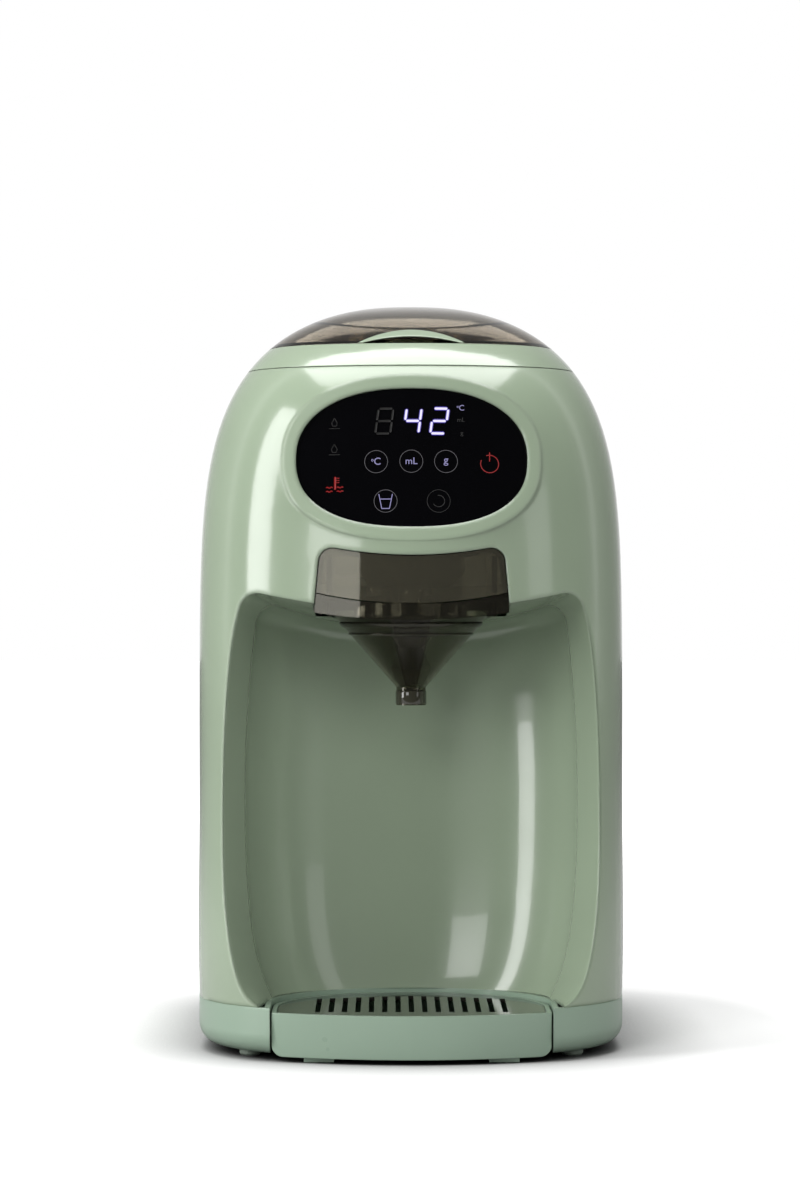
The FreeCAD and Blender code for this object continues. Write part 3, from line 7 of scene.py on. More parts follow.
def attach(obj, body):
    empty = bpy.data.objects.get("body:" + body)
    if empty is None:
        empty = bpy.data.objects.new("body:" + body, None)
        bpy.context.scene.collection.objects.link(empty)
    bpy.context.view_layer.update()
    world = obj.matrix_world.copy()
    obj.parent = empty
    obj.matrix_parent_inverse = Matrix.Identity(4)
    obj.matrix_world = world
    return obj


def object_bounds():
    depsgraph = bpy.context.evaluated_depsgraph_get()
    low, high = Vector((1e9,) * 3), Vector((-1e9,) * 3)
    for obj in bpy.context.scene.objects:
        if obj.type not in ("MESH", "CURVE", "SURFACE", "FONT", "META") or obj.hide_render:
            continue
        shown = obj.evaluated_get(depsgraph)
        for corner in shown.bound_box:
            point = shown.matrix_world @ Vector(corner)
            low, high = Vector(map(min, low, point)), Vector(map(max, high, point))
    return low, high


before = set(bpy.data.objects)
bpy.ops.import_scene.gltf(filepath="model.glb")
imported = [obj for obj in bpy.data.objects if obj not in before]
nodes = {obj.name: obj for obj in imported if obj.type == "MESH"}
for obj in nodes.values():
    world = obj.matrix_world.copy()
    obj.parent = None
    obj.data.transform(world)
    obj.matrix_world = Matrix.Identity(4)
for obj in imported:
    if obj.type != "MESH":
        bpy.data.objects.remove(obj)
cadBox = [list(corner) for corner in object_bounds()]
mm = 0.001
print("stage: frame loaded, %d nodes" % len(nodes))


# Camera and light

cameraSetup = {
    "distance": 1.5,          # from the front of the machine
    "height": 0.212,
    "lensHeightAngle": 20.0,  # degrees, bottom to top
    "across": -0.010,
    "shiftAcross": 0.0090,
    "shiftUp": -0.0117,
    "nearest": 0.05,
}


def addCamera():
    away = cadBox[0][1] - cameraSetup["distance"]
    place = (cameraSetup["across"], away, cameraSetup["height"])
    bpy.ops.object.camera_add(location=place, rotation=(math.pi / 2, 0, 0))
    camera = bpy.context.object
    camera.name = "photoCamera"
    camera.data.sensor_fit = "VERTICAL"
    camera.data.angle = math.radians(cameraSetup["lensHeightAngle"])
    camera.data.shift_x = cameraSetup["shiftAcross"]
    camera.data.shift_y = cameraSetup["shiftUp"]
    camera.data.clip_start = cameraSetup["nearest"]
    bpy.context.scene.camera = camera


lampSetups = {
    # name: place, what it looks at, width, height, watts; no fill lamp shows in gloss
    "leftSoftbox": ((-1.23, -0.62, 0.76), (0, -0.05, 0.76), 0.46, 1.5, 16.0),
    "frontSoftbox": ((-0.69, -1.37, 0.34), (-0.03, -0.13, 0.22), 0.5, 0.4, 2.6),
    "rightSoftbox": ((0.95, -0.9, 0.5), (0, -0.05, 0.16), 0.3, 0.9, 1.0),
    "topSoftbox": ((0.0, -0.06, 1.35), (0, -0.059, 0.3), 1.15, 0.6, 13.0),
    "fillRear": ((0.0, 1.0, 1.25), (0, 0.1, 0.2), 1.2, 0.4, 6.0),
    "fillLeft": ((-0.5, -1.25, 0.95), (0, -0.1, 0.2), 0.5, 0.5, 5.5),
    "fillRight": ((0.8, -1.4, 0.45), (0, -0.1, 0.2), 0.7, 0.7, 2.5),
}


def addLamps():
    for name, (place, target, width, height, watts) in lampSetups.items():
        bpy.ops.object.light_add(type="AREA", location=place)
        lamp = bpy.context.object
        lamp.name = name
        lamp.data.shape = "RECTANGLE"
        lamp.data.size = width
        lamp.data.size_y = height
        lamp.data.energy = watts
        lamp.visible_glossy = not name.startswith("fill")
        aim = Vector(target) - Vector(place)
        lamp.rotation_euler = aim.to_track_quat("-Z", "Y").to_euler()


# what a glossy surface sees of the studio, from straight ahead of the machine (0) to behind it (1)
studioTones = [(0.0, 0.012), (0.30, 0.03), (0.46, 0.12), (0.56, 0.35), (0.615, 1.0),
               (0.67, 0.4), (0.78, 0.22), (0.885, 0.32), (0.96, 0.5), (0.995, 0.8)]
worldStrengths = {"objects": 0.34, "reflections": 1.0, "background": 1.0}


def buildWorld():
    world = bpy.data.worlds.new("studio")
    bpy.context.scene.world = world
    world.use_nodes = True
    tree = world.node_tree
    tree.nodes.clear()
    output = tree.nodes.new("ShaderNodeOutputWorld")
    lightPath = tree.nodes.new("ShaderNodeLightPath")
    place = tree.nodes.new("ShaderNodeTexCoord")
    parts = tree.nodes.new("ShaderNodeSeparateXYZ")
    tree.links.new(place.outputs["Generated"], parts.inputs[0])
    back = tree.nodes.new("ShaderNodeMapRange")
    back.inputs["From Min"].default_value = -1.0
    tree.links.new(parts.outputs["Y"], back.inputs["Value"])
    ramp = tree.nodes.new("ShaderNodeValToRGB")
    tones = ramp.color_ramp.elements
    tones[0].position, tones[1].position = studioTones[0][0], studioTones[-1][0]
    for position, tone in studioTones[1:-1]:
        tones.new(position)
    for element, (position, tone) in zip(tones, studioTones):
        element.color = (tone, tone, tone, 1)
    tree.links.new(back.outputs["Result"], ramp.inputs[0])
    shades = []
    for strength in worldStrengths.values():
        shade = tree.nodes.new("ShaderNodeBackground")
        shade.inputs["Strength"].default_value = strength
        shades.append(shade)
    dim, studio, white = shades
    tree.links.new(ramp.outputs["Color"], studio.inputs["Color"])
    for shade in (dim, white):
        shade.inputs["Color"].default_value = (1, 1, 1, 1)
    seen = tree.nodes.new("ShaderNodeMath")
    seen.operation = "MAXIMUM"
    tree.links.new(lightPath.outputs["Is Glossy Ray"], seen.inputs[0])
    tree.links.new(lightPath.outputs["Is Transmission Ray"], seen.inputs[1])
    first = tree.nodes.new("ShaderNodeMixShader")
    tree.links.new(seen.outputs[0], first.inputs[0])
    tree.links.new(dim.outputs[0], first.inputs[1])
    tree.links.new(studio.outputs[0], first.inputs[2])
    second = tree.nodes.new("ShaderNodeMixShader")
    tree.links.new(lightPath.outputs["Is Camera Ray"], second.inputs[0])
    tree.links.new(first.outputs[0], second.inputs[1])
    tree.links.new(white.outputs[0], second.inputs[2])
    tree.links.new(second.outputs[0], output.inputs[0])
    bpy.context.scene.view_settings.view_transform = "Standard"


# Materials

def newMaterial(name):
    material = bpy.data.materials.new(name)
    material.use_nodes = True
    shader = material.node_tree.nodes["Principled BSDF"]
    return material, material.node_tree, shader


def objectNoise(tree, scale, detail=2.0):
    place = tree.nodes.new("ShaderNodeTexCoord")
    noise = tree.nodes.new("ShaderNodeTexNoise")
    noise.inputs["Scale"].default_value = scale
    noise.inputs["Detail"].default_value = detail
    tree.links.new(place.outputs["Object"], noise.inputs["Vector"])
    return noise


def spread(tree, source, low, high):
    span = tree.nodes.new("ShaderNodeMapRange")
    span.inputs["To Min"].default_value = low
    span.inputs["To Max"].default_value = high
    tree.links.new(source.outputs["Fac"], span.inputs["Value"])
    return span


def frontOnly(tree, normal, limit):
    # keeps the softened edges in front of a depth, so that the joint inside the bay stays fine
    place = tree.nodes.new("ShaderNodeTexCoord")
    parts = tree.nodes.new("ShaderNodeSeparateXYZ")
    tree.links.new(place.outputs["Object"], parts.inputs[0])
    share = tree.nodes.new("ShaderNodeMapRange")
    share.inputs["From Min"].default_value = limit
    share.inputs["From Max"].default_value = limit - 0.006
    tree.links.new(parts.outputs["Y"], share.inputs["Value"])
    plain = tree.nodes.new("ShaderNodeNewGeometry")
    mix = tree.nodes.new("ShaderNodeMix")
    mix.data_type = "VECTOR"
    tree.links.new(share.outputs["Result"], mix.inputs["Factor"])
    tree.links.new(plain.outputs["Normal"], mix.inputs["A"])
    tree.links.new(normal, mix.inputs["B"])
    return mix.outputs["Result"]


def mouldedPlastic(name, colour, roughness, coat=0.0, grain=900, grainDepth=0.00002,
                   edge=0.0, tint=0.06, edgeBack=None):
    # moulded plastic: faint cloudiness of colour, uneven gloss, fine surface ripple, softened edges
    material, tree, shader = newMaterial(name)
    cloud = objectNoise(tree, 14)
    mix = tree.nodes.new("ShaderNodeMix")
    mix.data_type = "RGBA"
    mix.inputs["A"].default_value = (*[c * (1 - tint) for c in colour], 1)
    mix.inputs["B"].default_value = (*[min(1, c * (1 + tint)) for c in colour], 1)
    tree.links.new(cloud.outputs["Fac"], mix.inputs["Factor"])
    tree.links.new(mix.outputs["Result"], shader.inputs["Base Color"])
    gloss = spread(tree, objectNoise(tree, 60), roughness * 0.8, roughness * 1.25)
    tree.links.new(gloss.outputs["Result"], shader.inputs["Roughness"])
    bump = tree.nodes.new("ShaderNodeBump")
    bump.inputs["Strength"].default_value = 0.35
    bump.inputs["Distance"].default_value = grainDepth
    tree.links.new(objectNoise(tree, grain).outputs["Fac"], bump.inputs["Height"])
    if edge:
        rounded = tree.nodes.new("ShaderNodeBevel")
        rounded.samples = 6
        rounded.inputs["Radius"].default_value = edge
        softened = rounded.outputs["Normal"]
        if edgeBack is not None:
            softened = frontOnly(tree, softened, edgeBack)
        tree.links.new(softened, bump.inputs["Normal"])
        tree.links.new(softened, shader.inputs["Coat Normal"])
    tree.links.new(bump.outputs["Normal"], shader.inputs["Normal"])
    shader.inputs["Coat Weight"].default_value = coat
    shader.inputs["Coat Roughness"].default_value = 0.03
    return material


def smokedPlastic(name, colour, roughness=0.04, clearness=1.0):
    # tinted clear plastic, slightly milky where its clearness is under one
    material, tree, shader = newMaterial(name)
    shader.inputs["Base Color"].default_value = (*colour, 1)
    shader.inputs["Transmission Weight"].default_value = clearness
    shader.inputs["IOR"].default_value = 1.49
    shader.inputs["Specular Tint"].default_value = (1.0, 0.98, 0.86, 1)
    gloss = spread(tree, objectNoise(tree, 80), roughness * 0.6, roughness * 1.4)
    tree.links.new(gloss.outputs["Result"], shader.inputs["Roughness"])
    return material


def metal(name, colour, roughness):
    material, tree, shader = newMaterial(name)
    shader.inputs["Base Color"].default_value = (*colour, 1)
    shader.inputs["Metallic"].default_value = 1.0
    gloss = spread(tree, objectNoise(tree, 400), roughness * 0.7, roughness * 1.3)
    tree.links.new(gloss.outputs["Result"], shader.inputs["Roughness"])
    return material


def glow(name, colour, strength):
    material, tree, shader = newMaterial(name)
    shader.inputs["Base Color"].default_value = (0.02, 0.02, 0.02, 1)
    flicker = spread(tree, objectNoise(tree, 700), 0.85, 1.1)
    tint = tree.nodes.new("ShaderNodeMix")
    tint.data_type = "RGBA"
    tint.inputs["A"].default_value = (*[c * 0.8 for c in colour], 1)
    tint.inputs["B"].default_value = (*colour, 1)
    tree.links.new(flicker.outputs["Result"], tint.inputs["Factor"])
    tree.links.new(tint.outputs["Result"], shader.inputs["Emission Color"])
    shader.inputs["Emission Strength"].default_value = strength
    return material


sageGreen = (0.272, 0.338, 0.243)
bodyGreen = mouldedPlastic("bodyGreen", sageGreen, 0.16, coat=0.5, edge=0.003, edgeBack=-0.088)
bayGreen = mouldedPlastic("bayGreen", sageGreen, 0.18, coat=0.5)
frameGreen = mouldedPlastic("frameGreen", sageGreen, 0.16, coat=0.5, edge=0.0006)
baseGreen = mouldedPlastic("baseGreen", (0.255, 0.345, 0.265), 0.3, coat=0.1, edge=0.0008)
panelBlack = mouldedPlastic("panelBlack", (0.0015, 0.0015, 0.002), 0.06, grainDepth=0.000002,
                            tint=0.3)
smokedLid = smokedPlastic("smokedLid", (0.40, 0.35, 0.28))
smokedCover = smokedPlastic("smokedCover", (0.27, 0.255, 0.185), clearness=0.88)
smokedFunnel = smokedPlastic("smokedFunnel", (0.24, 0.228, 0.17), clearness=0.96)
smokedTank = smokedPlastic("smokedTank", (0.55, 0.56, 0.54))
plateBlack = mouldedPlastic("plateBlack", (0.02, 0.02, 0.016), 0.07, coat=0.3, edge=0.0004,
                            tint=0.3)
sleeveGloss = mouldedPlastic("sleeveGloss", (0.035, 0.034, 0.024), 0.06, coat=0.4, tint=0.2)
insertDark = mouldedPlastic("insertDark", (0.16, 0.16, 0.13), 0.2, tint=0.2)
darkPlastic = mouldedPlastic("darkPlastic", (0.012, 0.012, 0.010), 0.25, edge=0.0004, tint=0.3)
whitePlastic = mouldedPlastic("whitePlastic", (0.60, 0.60, 0.56), 0.35, edge=0.0004)
gearPlastic = mouldedPlastic("gearPlastic", (0.68, 0.66, 0.58), 0.4)
boardGreen = mouldedPlastic("boardGreen", (0.01, 0.07, 0.02), 0.35, tint=0.3)
softSilicone = mouldedPlastic("softSilicone", (0.32, 0.33, 0.32), 0.55)
rubberGrey = mouldedPlastic("rubberGrey", (0.22, 0.27, 0.22), 0.6)
brightSteel = metal("brightSteel", (0.62, 0.61, 0.59), 0.25)
digitGlow = glow("digitGlow", (0.80, 0.76, 1.0), 1.1)
haloGlow = glow("haloGlow", (0.045, 0.02, 0.42), 0.7)
labelGlow = glow("labelGlow", (0.45, 0.42, 0.80), 0.6)
ringGlow = glow("ringGlow", (0.30, 0.29, 0.32), 0.28)
redGlow = glow("redGlow", (0.75, 0.005, 0.005), 0.36)
# unlit marks: a dark ink-like colour plus a faint painted glow, so that they show on the black lens
ghostInkPaintedGlow = glow("ghostInkPaintedGlow", (0.02, 0.02, 0.018), 0.1)

finishes = {
    bodyGreen: ["front_housing"],
    bayGreen: ["bay_liner"],
    frameGreen: ["top_frame", "hinge_bridge", "tank_lid", "rear_housing"],
    baseGreen: ["base_pan", "tray_pan"],
    panelBlack: ["panel_lens"],
    smokedLid: ["powder_lid"],
    smokedTank: ["tank_shell"],
    smokedCover: ["funnel_cover"],
    smokedFunnel: ["funnel_bowl"],
    plateBlack: ["tray_plate"],
    insertDark: ["swirl_insert"],
    darkPlastic: ["outlet_block", "funnel_rail_left", "funnel_rail_right", "gear_plate",
                  "tank_dock", "hopper_seat", "display_module", "transformer", "pump_body",
                  "cord_gland"],
    whitePlastic: ["hopper_shell", "dosing_base", "dosing_wheel", "stirrer", "level_float",
                   "tank_filter", "valve_plunger"],
    gearPlastic: ["drive_gear", "motor_pinion"],
    boardGreen: ["display_board", "main_board"],
    softSilicone: ["inlet_hose", "pump_hose", "outlet_hose", "hopper_seal", "dock_seal"],
    rubberGrey: ["front_foot_left", "front_foot_right", "rear_foot_left", "rear_foot_right"],
    brightSteel: ["drive_shaft", "powder_hinge_pin", "tank_hinge_pin", "outlet_nozzle",
                  "heater_body", "dose_motor", "pump_motor", "front_screw_left",
                  "front_screw_right", "rear_screw_left", "rear_screw_right", "key_spring_1",
                  "key_spring_2", "key_spring_3"],
}


def dressNodes():
    for material, names in finishes.items():
        for name in names:
            node = nodes[name]
            node.data.materials.clear()
            node.data.materials.append(material)


# Floor

floorSizes = {
    "width": 9.0,
    "front": -0.50,
    "rear": 8.0,
    "glowStart": 0.18,
    "glowEnd": 0.34,
    "contact": 0.05,
}


def addFloor():
    # a table top: it ends a little in front of the machine, and looks white further out
    deep = floorSizes["rear"] - floorSizes["front"]
    bpy.ops.mesh.primitive_plane_add(size=1, location=(0, 0, 0))
    floor = bpy.context.object
    floor.name = "floor"
    for vertex in floor.data.vertices:
        vertex.co.x *= floorSizes["width"]
        vertex.co.y = floorSizes["front"] + (vertex.co.y + 0.5) * deep
    material, tree, shader = newMaterial("paleFloor")
    lightPath = tree.nodes.new("ShaderNodeLightPath")
    pale = tree.nodes.new("ShaderNodeMix")
    pale.data_type = "RGBA"
    pale.inputs["A"].default_value = (0.5, 0.5, 0.5, 1)
    pale.inputs["B"].default_value = (0.93, 0.93, 0.93, 1)
    tree.links.new(lightPath.outputs["Is Camera Ray"], pale.inputs["Factor"])
    contact = tree.nodes.new("ShaderNodeAmbientOcclusion")  # deepens the shadow under the base
    contact.samples = 8
    contact.inputs["Distance"].default_value = floorSizes["contact"]
    tree.links.new(pale.outputs["Result"], contact.inputs["Color"])
    tree.links.new(contact.outputs["Color"], shader.inputs["Base Color"])
    shader.inputs["Roughness"].default_value = 0.9
    shader.inputs["Specular IOR Level"].default_value = 0.1
    place = tree.nodes.new("ShaderNodeTexCoord")
    reach = tree.nodes.new("ShaderNodeVectorMath")
    reach.operation = "LENGTH"
    tree.links.new(place.outputs["Object"], reach.inputs[0])
    fade = tree.nodes.new("ShaderNodeMapRange")
    fade.inputs["From Min"].default_value = floorSizes["glowStart"]
    fade.inputs["From Max"].default_value = floorSizes["glowEnd"]
    tree.links.new(reach.outputs["Value"], fade.inputs["Value"])
    shown = tree.nodes.new("ShaderNodeMath")
    shown.operation = "MULTIPLY"
    tree.links.new(fade.outputs["Result"], shown.inputs[0])
    tree.links.new(lightPath.outputs["Is Camera Ray"], shown.inputs[1])
    tree.links.new(shown.outputs[0], shader.inputs["Emission Strength"])
    shader.inputs["Emission Color"].default_value = (0.85, 0.85, 0.85, 1)
    floor.data.materials.append(material)


# Panel graphics, drawn on the bowed black lens. Lengths are in mm from the lens's middle.

panel = {
    "front": 125.6,
    "height": 269.0,
    "tilt": 12.0,
    "curve": 260.0,
    "standOff": 0.05,
    "thickness": 0.04,
    "haloGrow": 0.7,          # how much wider the halo's strokes are
    "digitLift": 0.05,        # the lit figure stands in front of its halo
    "digitHeight": 11.4,
    "digitWidth": 6.6,
    "digitSlant": 0.13,
    "strokeWidth": 0.95,
    "strokeGap": 0.55,
    "digitPlaces": {"8": (-12.2, 16.7), "4": (0.4, 16.7), "2": (12.3, 16.7)},
    "ringRadius": 5.1,
    "ringWidth": 0.22,
    "unitRings": {"degrees": (-15.8, -1.8), "volume": (-0.2, -1.7), "mass": (15.2, -1.7)},
    "cupRing": (-11.6, -19.8),
    "spareRing": (11.9, -19.8),
    "powerPlace": (34.6, -2.4),
    "heatPlace": (-34.2, -12.2),
}


def placeOnPanel(piece):
    # the piece is drawn in x and y; it is wrapped onto the drum-shaped lens and tilted with it
    tilt = Matrix.Rotation(math.radians(-panel["tilt"]), 4, "X")
    middle = Vector((0, -panel["front"] * mm, panel["height"] * mm))
    curve = panel["curve"]
    for vertex in piece.data.vertices:
        across, up, out = vertex.co
        sag = curve - math.sqrt(curve ** 2 - across ** 2)
        depth = (sag - panel["standOff"] - out) * mm
        vertex.co = middle + tilt @ Vector((across * mm, depth, up * mm))
    piece.data.update()


def applyPlace(piece):
    bpy.ops.object.select_all(action="DESELECT")
    piece.select_set(True)
    bpy.context.view_layer.objects.active = piece
    bpy.ops.object.transform_apply(location=True, rotation=True, scale=True)


def joinPieces(pieces, name):
    bpy.ops.object.select_all(action="DESELECT")
    for piece in pieces:
        piece.select_set(True)
    bpy.context.view_layer.objects.active = pieces[0]
    if len(pieces) > 1:
        bpy.ops.object.join()
    joined = bpy.context.object
    joined.name = name
    joined.data.name = name
    return joined


def finishGraphic(pieces, name, material):
    piece = joinPieces(pieces, name)
    applyPlace(piece)
    bpy.ops.object.mode_set(mode="EDIT")
    bpy.ops.mesh.select_all(action="SELECT")
    bpy.ops.mesh.normals_make_consistent(inside=False)
    bpy.ops.object.mode_set(mode="OBJECT")
    placeOnPanel(piece)
    piece.data.materials.clear()
    piece.data.materials.append(material)
    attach(piece, "housing")
    return piece


def liftFromPanel(piece, lift):
    away = Matrix.Rotation(math.radians(-panel["tilt"]), 4, "X") @ Vector((0, -lift * mm, 0))
    for vertex in piece.data.vertices:
        vertex.co += away


def strokeBar(middle, length, width, angle=0.0, slant=0.0, point=0.45):
    # one stroke: a flat bar whose four upright edges are cut back to points
    bpy.ops.object.select_all(action="DESELECT")
    bpy.ops.mesh.primitive_cube_add(size=1, location=(0, 0, 0))
    bar = bpy.context.object
    bar.scale = (length, width, panel["thickness"])
    applyPlace(bar)
    for edge in bar.data.edges:
        first, last = (bar.data.vertices[index].co for index in edge.vertices)
        edge.select = (first - last).length < panel["thickness"] * 1.5 and abs(first.z - last.z) > 0
    bpy.ops.object.mode_set(mode="EDIT")
    bpy.context.tool_settings.mesh_select_mode = (False, True, False)
    bpy.ops.mesh.bevel(offset=width * point, segments=2, affect="EDGES")
    bpy.ops.object.mode_set(mode="OBJECT")
    turn = Matrix.Rotation(angle, 4, "Z")
    lean = Matrix.Identity(4)
    lean[0][1] = slant
    for vertex in bar.data.vertices:
        vertex.co = lean @ (turn @ vertex.co) + Vector((middle[0], middle[1], 0))
    return bar


# which of the seven strokes each figure lights, from the top down and from left to right
figureStrokes = {"8": "1111111", "4": "0111010", "2": "1011101"}


def digitStrokes(figure, place, grow=0.0):
    high, wide = panel["digitHeight"] / 2, panel["digitWidth"]
    slant, width, gap = panel["digitSlant"], panel["strokeWidth"] + grow, panel["strokeGap"] - grow
    spots = [(0, high, 0), (-wide / 2, high / 2, 1), (wide / 2, high / 2, 1), (0, 0, 0),
             (-wide / 2, -high / 2, 1), (wide / 2, -high / 2, 1), (0, -high, 0)]
    strokes = []
    for lit, (across, up, upright) in zip(figureStrokes[figure], spots):
        if lit == "0":
            continue
        length = (high if upright else wide) - gap - width
        angle = math.pi / 2 if upright else 0
        middle = (place[0] + across + slant * up, place[1] + up)
        lean = slant if upright else 0
        strokes.append(strokeBar(middle, length + width * 0.6, width, angle, lean))
    return strokes


def ring(place, radius, width, start=0.0, sweep=360.0):
    # a flat ring or an open arc, spun from a small square
    bpy.ops.object.select_all(action="DESELECT")
    bpy.ops.mesh.primitive_plane_add(size=1, location=(0, 0, 0))
    band = bpy.context.object
    first = math.radians(start)
    for vertex in band.data.vertices:
        out, high = vertex.co.x * width + radius, vertex.co.y * panel["thickness"]
        vertex.co = (out * math.cos(first), out * math.sin(first), high)
    bpy.ops.object.mode_set(mode="EDIT")
    bpy.ops.mesh.select_all(action="SELECT")
    bpy.ops.mesh.spin(steps=64, angle=math.radians(sweep), center=(0, 0, 0), axis=(0, 0, 1))
    bpy.ops.mesh.select_all(action="SELECT")
    bpy.ops.mesh.remove_doubles(threshold=0.001)
    bpy.ops.mesh.normals_make_consistent(inside=False)
    bpy.ops.object.mode_set(mode="OBJECT")
    for vertex in band.data.vertices:
        vertex.co += Vector((place[0], place[1], 0))
    return band


def letters(text, place, size):
    bpy.ops.object.select_all(action="DESELECT")
    bpy.ops.object.text_add(location=(0, 0, 0))
    words = bpy.context.object
    words.data.body = text
    words.data.size = size
    words.data.extrude = panel["thickness"] / 2
    words.data.align_x = "CENTER"
    words.data.align_y = "CENTER"
    words.data.resolution_u = 6
    bpy.ops.object.convert(target="MESH")
    written = bpy.context.object
    for vertex in written.data.vertices:
        vertex.co += Vector((place[0], place[1], 0))
    return written


def degreeC(place, size):
    # a small ring before the letter
    high = size * 0.26
    return [letters("C", (place[0] + size * 0.12, place[1]), size),
            ring((place[0] - size * 0.36, place[1] + high * 0.55), size * 0.09, size * 0.05)]


def polyline(points, width):
    bars = []
    for (startX, startY), (endX, endY) in zip(points, points[1:]):
        run = math.hypot(endX - startX, endY - startY)
        middle = ((startX + endX) / 2, (startY + endY) / 2)
        angle = math.atan2(endY - startY, endX - startX)
        bars.append(strokeBar(middle, run + width * 0.5, width, angle))
    return bars


def offsetPoints(points, place):
    return [(place[0] + across, place[1] + up) for across, up in points]


icons = {
    "cupOutline": [(-3.0, 3.1), (-1.7, -3.4), (1.7, -3.4), (3.0, 3.1)],
    "cupLevel": [(-2.5, 0.9), (2.5, 0.9)],
    "cupLine": 0.34,
    "spareArc": (2.6, 0.3, 100, 250),         # radius, width, start, sweep
    "powerArc": (4.0, 0.36, 112, 316),
    "powerStroke": [(0, 1.2), (0, 5.2)],
    "powerLine": 0.42,
    "heatStem": [(0.2, -1.8), (0.2, 3.6)],
    "stemLine": 0.9,
    "heatTicks": (1.2, 2.2, 3.2),
    "tickLine": 0.34,
    "heatWaves": (-1.0, -2.8),
    "waveLine": 0.42,
    "drop": [(0, 2.0), (1.3, -0.4), (0.8, -1.7), (-0.8, -1.7), (-1.3, -0.4), (0, 2.0)],
    "dropBase": [(-2.4, -2.8), (2.4, -2.8)],
    "dropLine": 0.3,
    "dropPlaces": {"icon_low": (-34.4, 16.6), "icon_clean": (-34.4, 4.6)},
}


def iconLines(shape, place, width):
    return polyline(offsetPoints(icons[shape], place), width)


def buildFigures():
    places = panel["digitPlaces"]
    for figure in ("4", "2"):
        halo = digitStrokes(figure, places[figure], panel["haloGrow"])
        finishGraphic(halo, "digit_halo_" + figure, haloGlow)
        lit = finishGraphic(digitStrokes(figure, places[figure]), "digit_" + figure, digitGlow)
        liftFromPanel(lit, panel["digitLift"])
    finishGraphic(digitStrokes("8", places["8"]), "digit_unlit", ghostInkPaintedGlow)
    finishGraphic(degreeC((21.8, 22.9), 3.6), "label_degrees", labelGlow)
    finishGraphic([letters("mL", (21.9, 17.4), 2.8)], "label_volume", ghostInkPaintedGlow)
    finishGraphic([letters("g", (22.3, 11.4), 2.8)], "label_mass", ghostInkPaintedGlow)


def buildKeys():
    radius, width = panel["ringRadius"], panel["ringWidth"]
    rings = panel["unitRings"]
    for name, place in rings.items():
        finishGraphic([ring(place, radius, width)], "ring_" + name, ringGlow)
    massAcross, massUp = rings["mass"]
    finishGraphic(degreeC(rings["degrees"], 4.6), "key_degrees", labelGlow)
    finishGraphic([letters("mL", rings["volume"], 4.4)], "key_volume", labelGlow)
    finishGraphic([letters("g", (massAcross, massUp + 0.6), 4.8)], "key_mass", labelGlow)
    cup = panel["cupRing"]
    finishGraphic([ring(cup, radius, width)], "ring_cup", ringGlow)
    line = icons["cupLine"]
    cupLines = iconLines("cupOutline", cup, line) + iconLines("cupLevel", cup, line)
    finishGraphic(cupLines, "icon_cup", labelGlow)
    spare = panel["spareRing"]
    spareRings = [ring(spare, radius, width), ring(spare, *icons["spareArc"])]
    finishGraphic(spareRings, "ring_spare", ghostInkPaintedGlow)
    power = panel["powerPlace"]
    powerLines = iconLines("powerStroke", power, icons["powerLine"])
    finishGraphic([ring(power, *icons["powerArc"])] + powerLines, "icon_power", redGlow)


def buildHeatIcon():
    # a thermometer over two rows of waves
    heat = panel["heatPlace"]
    lines = iconLines("heatStem", heat, icons["stemLine"])
    for up in icons["heatTicks"]:
        lines += polyline(offsetPoints([(0.8, up), (2.0, up)], heat), icons["tickLine"])
    for up in icons["heatWaves"]:
        for side in (-1, 1):
            crest = [(side * (1.0 + step * 0.55), up + 0.32 * math.sin(step * 1.9))
                     for step in range(6)]
            lines += polyline(offsetPoints(crest, heat), icons["waveLine"])
    finishGraphic(lines, "icon_heat", redGlow)


def buildDropIcons():
    line = icons["dropLine"]
    for name, place in icons["dropPlaces"].items():
        drop = iconLines("drop", place, line) + iconLines("dropBase", place, line)
        finishGraphic(drop, name, ghostInkPaintedGlow)


# Trim on the drawer and the lid. Lengths are in mm.

funnelTrim = {
    "centre": (0, -76.0),
    # corners of each lip, as distance from the centre and height
    "collar": [(30.4, 192.9), (31.6, 193.0), (33.3, 195.0), (32.3, 195.2)],
    "bead": [(27.0, 189.2), (28.6, 189.6), (28.9, 190.3), (28.0, 190.8)],
    "sleeve": [(6.6, 158.0), (7.1, 158.0), (7.1, 163.6), (6.6, 164.4)],
    "softEdge": 0.15,
    "steps": 96,
}


def spunLip(name, corners, material):
    # a small profile, spun round the funnel's axis
    bpy.ops.object.select_all(action="DESELECT")
    bpy.ops.mesh.primitive_circle_add(vertices=len(corners), radius=1, location=(0, 0, 0))
    lip = bpy.context.object
    for vertex, (out, high) in zip(lip.data.vertices, corners):
        vertex.co = (out * mm, 0, high * mm)
    bpy.ops.object.mode_set(mode="EDIT")
    bpy.ops.mesh.select_all(action="SELECT")
    bpy.ops.mesh.spin(steps=funnelTrim["steps"], angle=math.tau, center=(0, 0, 0), axis=(0, 0, 1))
    bpy.ops.mesh.select_all(action="SELECT")
    bpy.ops.mesh.remove_doubles(threshold=0.00001)
    bpy.ops.mesh.normals_make_consistent(inside=False)
    bpy.ops.object.mode_set(mode="OBJECT")
    across, back = funnelTrim["centre"]
    for vertex in lip.data.vertices:
        vertex.co += Vector((across * mm, back * mm, 0))
    softEdges(lip, funnelTrim["softEdge"])
    lip.name = name
    lip.data.materials.append(material)
    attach(lip, "funnel_drawer")


def softEdges(piece, width):
    edges = piece.modifiers.new("softEdges", "BEVEL")
    edges.width = width * mm
    edges.segments = 2
    bpy.ops.object.modifier_apply(modifier=edges.name)
    bpy.ops.object.shade_smooth_by_angle(angle=math.radians(40))


lidGrip = {
    "halfWidth": 24.0,
    "innerHalfWidth": 22.0,
    "bottom": 321.9,
    "rise": 6.4,
    "innerRise": 3.0,
    "standOff": 0.12,
    "thickness": 0.35,
    "softEdge": 0.08,
    "startAhead": 20.0,       # how far in front of the machine it is drawn, before it is laid on
}


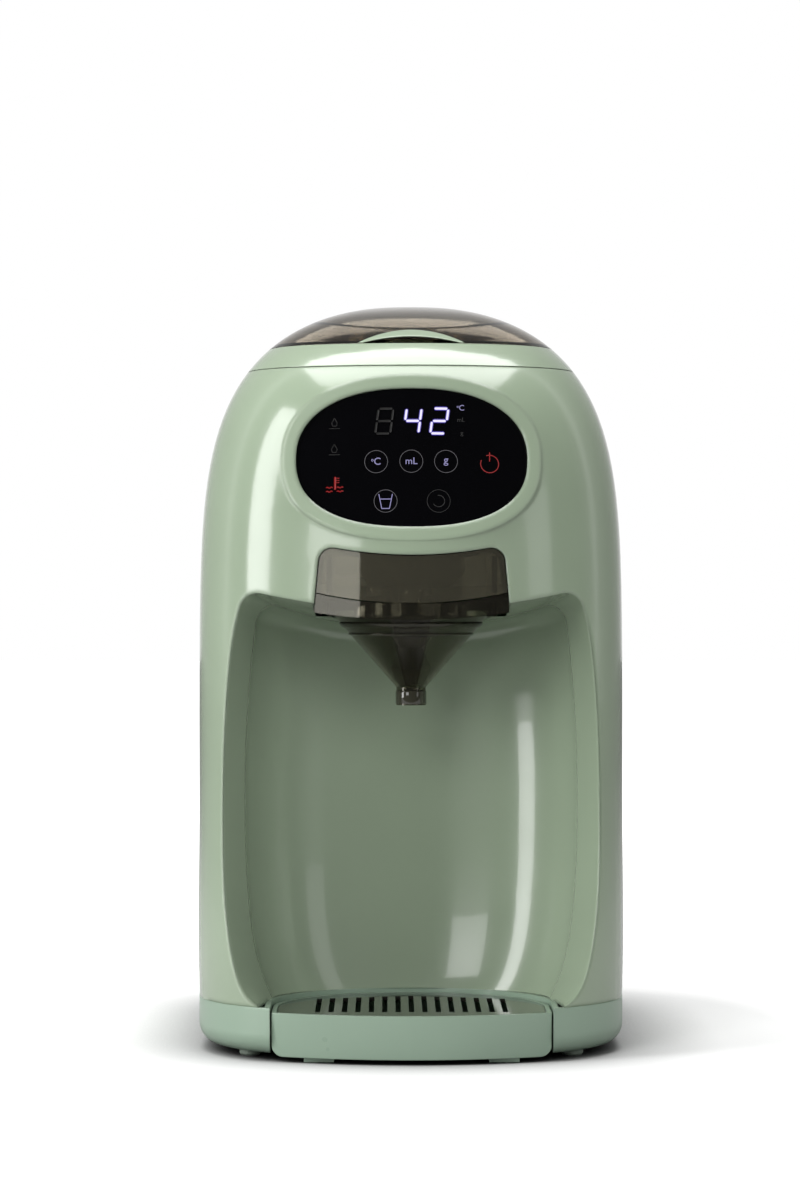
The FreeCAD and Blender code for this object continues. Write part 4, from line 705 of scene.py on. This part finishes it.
def buildLidGrip():
    # the pale crescent round the finger notch, laid on the lid's front edge
    grip = lidGrip
    bpy.ops.object.select_all(action="DESELECT")
    ahead = cadBox[0][1] - grip["startAhead"] * mm
    bpy.ops.mesh.primitive_grid_add(x_subdivisions=40, y_subdivisions=4, size=1, location=(0, 0, 0))
    crescent = bpy.context.object
    for vertex in crescent.data.vertices:
        along, out = vertex.co.x * 2, vertex.co.y + 0.5
        arch = 1 - along * along
        halfWidth = grip["innerHalfWidth"] + (grip["halfWidth"] - grip["innerHalfWidth"]) * out
        rise = grip["innerRise"] + (grip["rise"] - grip["innerRise"]) * out
        height = grip["bottom"] + rise * arch
        vertex.co = (along * halfWidth * mm, ahead, height * mm)
    wrap = crescent.modifiers.new("wrap", "SHRINKWRAP")
    wrap.target = nodes["powder_lid"]
    wrap.wrap_method = "PROJECT"
    wrap.use_project_y = True
    wrap.use_positive_direction = True
    wrap.use_negative_direction = False
    wrap.offset = grip["standOff"] * mm
    bpy.ops.object.modifier_apply(modifier=wrap.name)
    bpy.ops.object.mode_set(mode="EDIT")
    bpy.ops.mesh.select_all(action="SELECT")
    bpy.ops.mesh.remove_doubles(threshold=0.00001)
    bpy.ops.mesh.normals_make_consistent(inside=False)
    bpy.ops.object.mode_set(mode="OBJECT")
    wall = crescent.modifiers.new("wall", "SOLIDIFY")
    wall.thickness = grip["thickness"] * mm
    wall.offset = 0
    bpy.ops.object.modifier_apply(modifier=wall.name)
    softEdges(crescent, grip["softEdge"])
    crescent.name = "lid_grip"
    crescent.data.materials.append(frameGreen)
    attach(crescent, "powder_lid")


addCamera()
addLamps()
buildWorld()
addFloor()
dressNodes()
print("stage: camera, light and finishes")
buildFigures()
buildKeys()
buildHeatIcon()
buildDropIcons()
print("stage: panel graphics")
spunLip("funnel_collar", funnelTrim["collar"], smokedFunnel)
spunLip("funnel_bead", funnelTrim["bead"], smokedFunnel)
spunLip("spout_sleeve", funnelTrim["sleeve"], sleeveGloss)
buildLidGrip()
print("stage: drawer lips and lid grip")
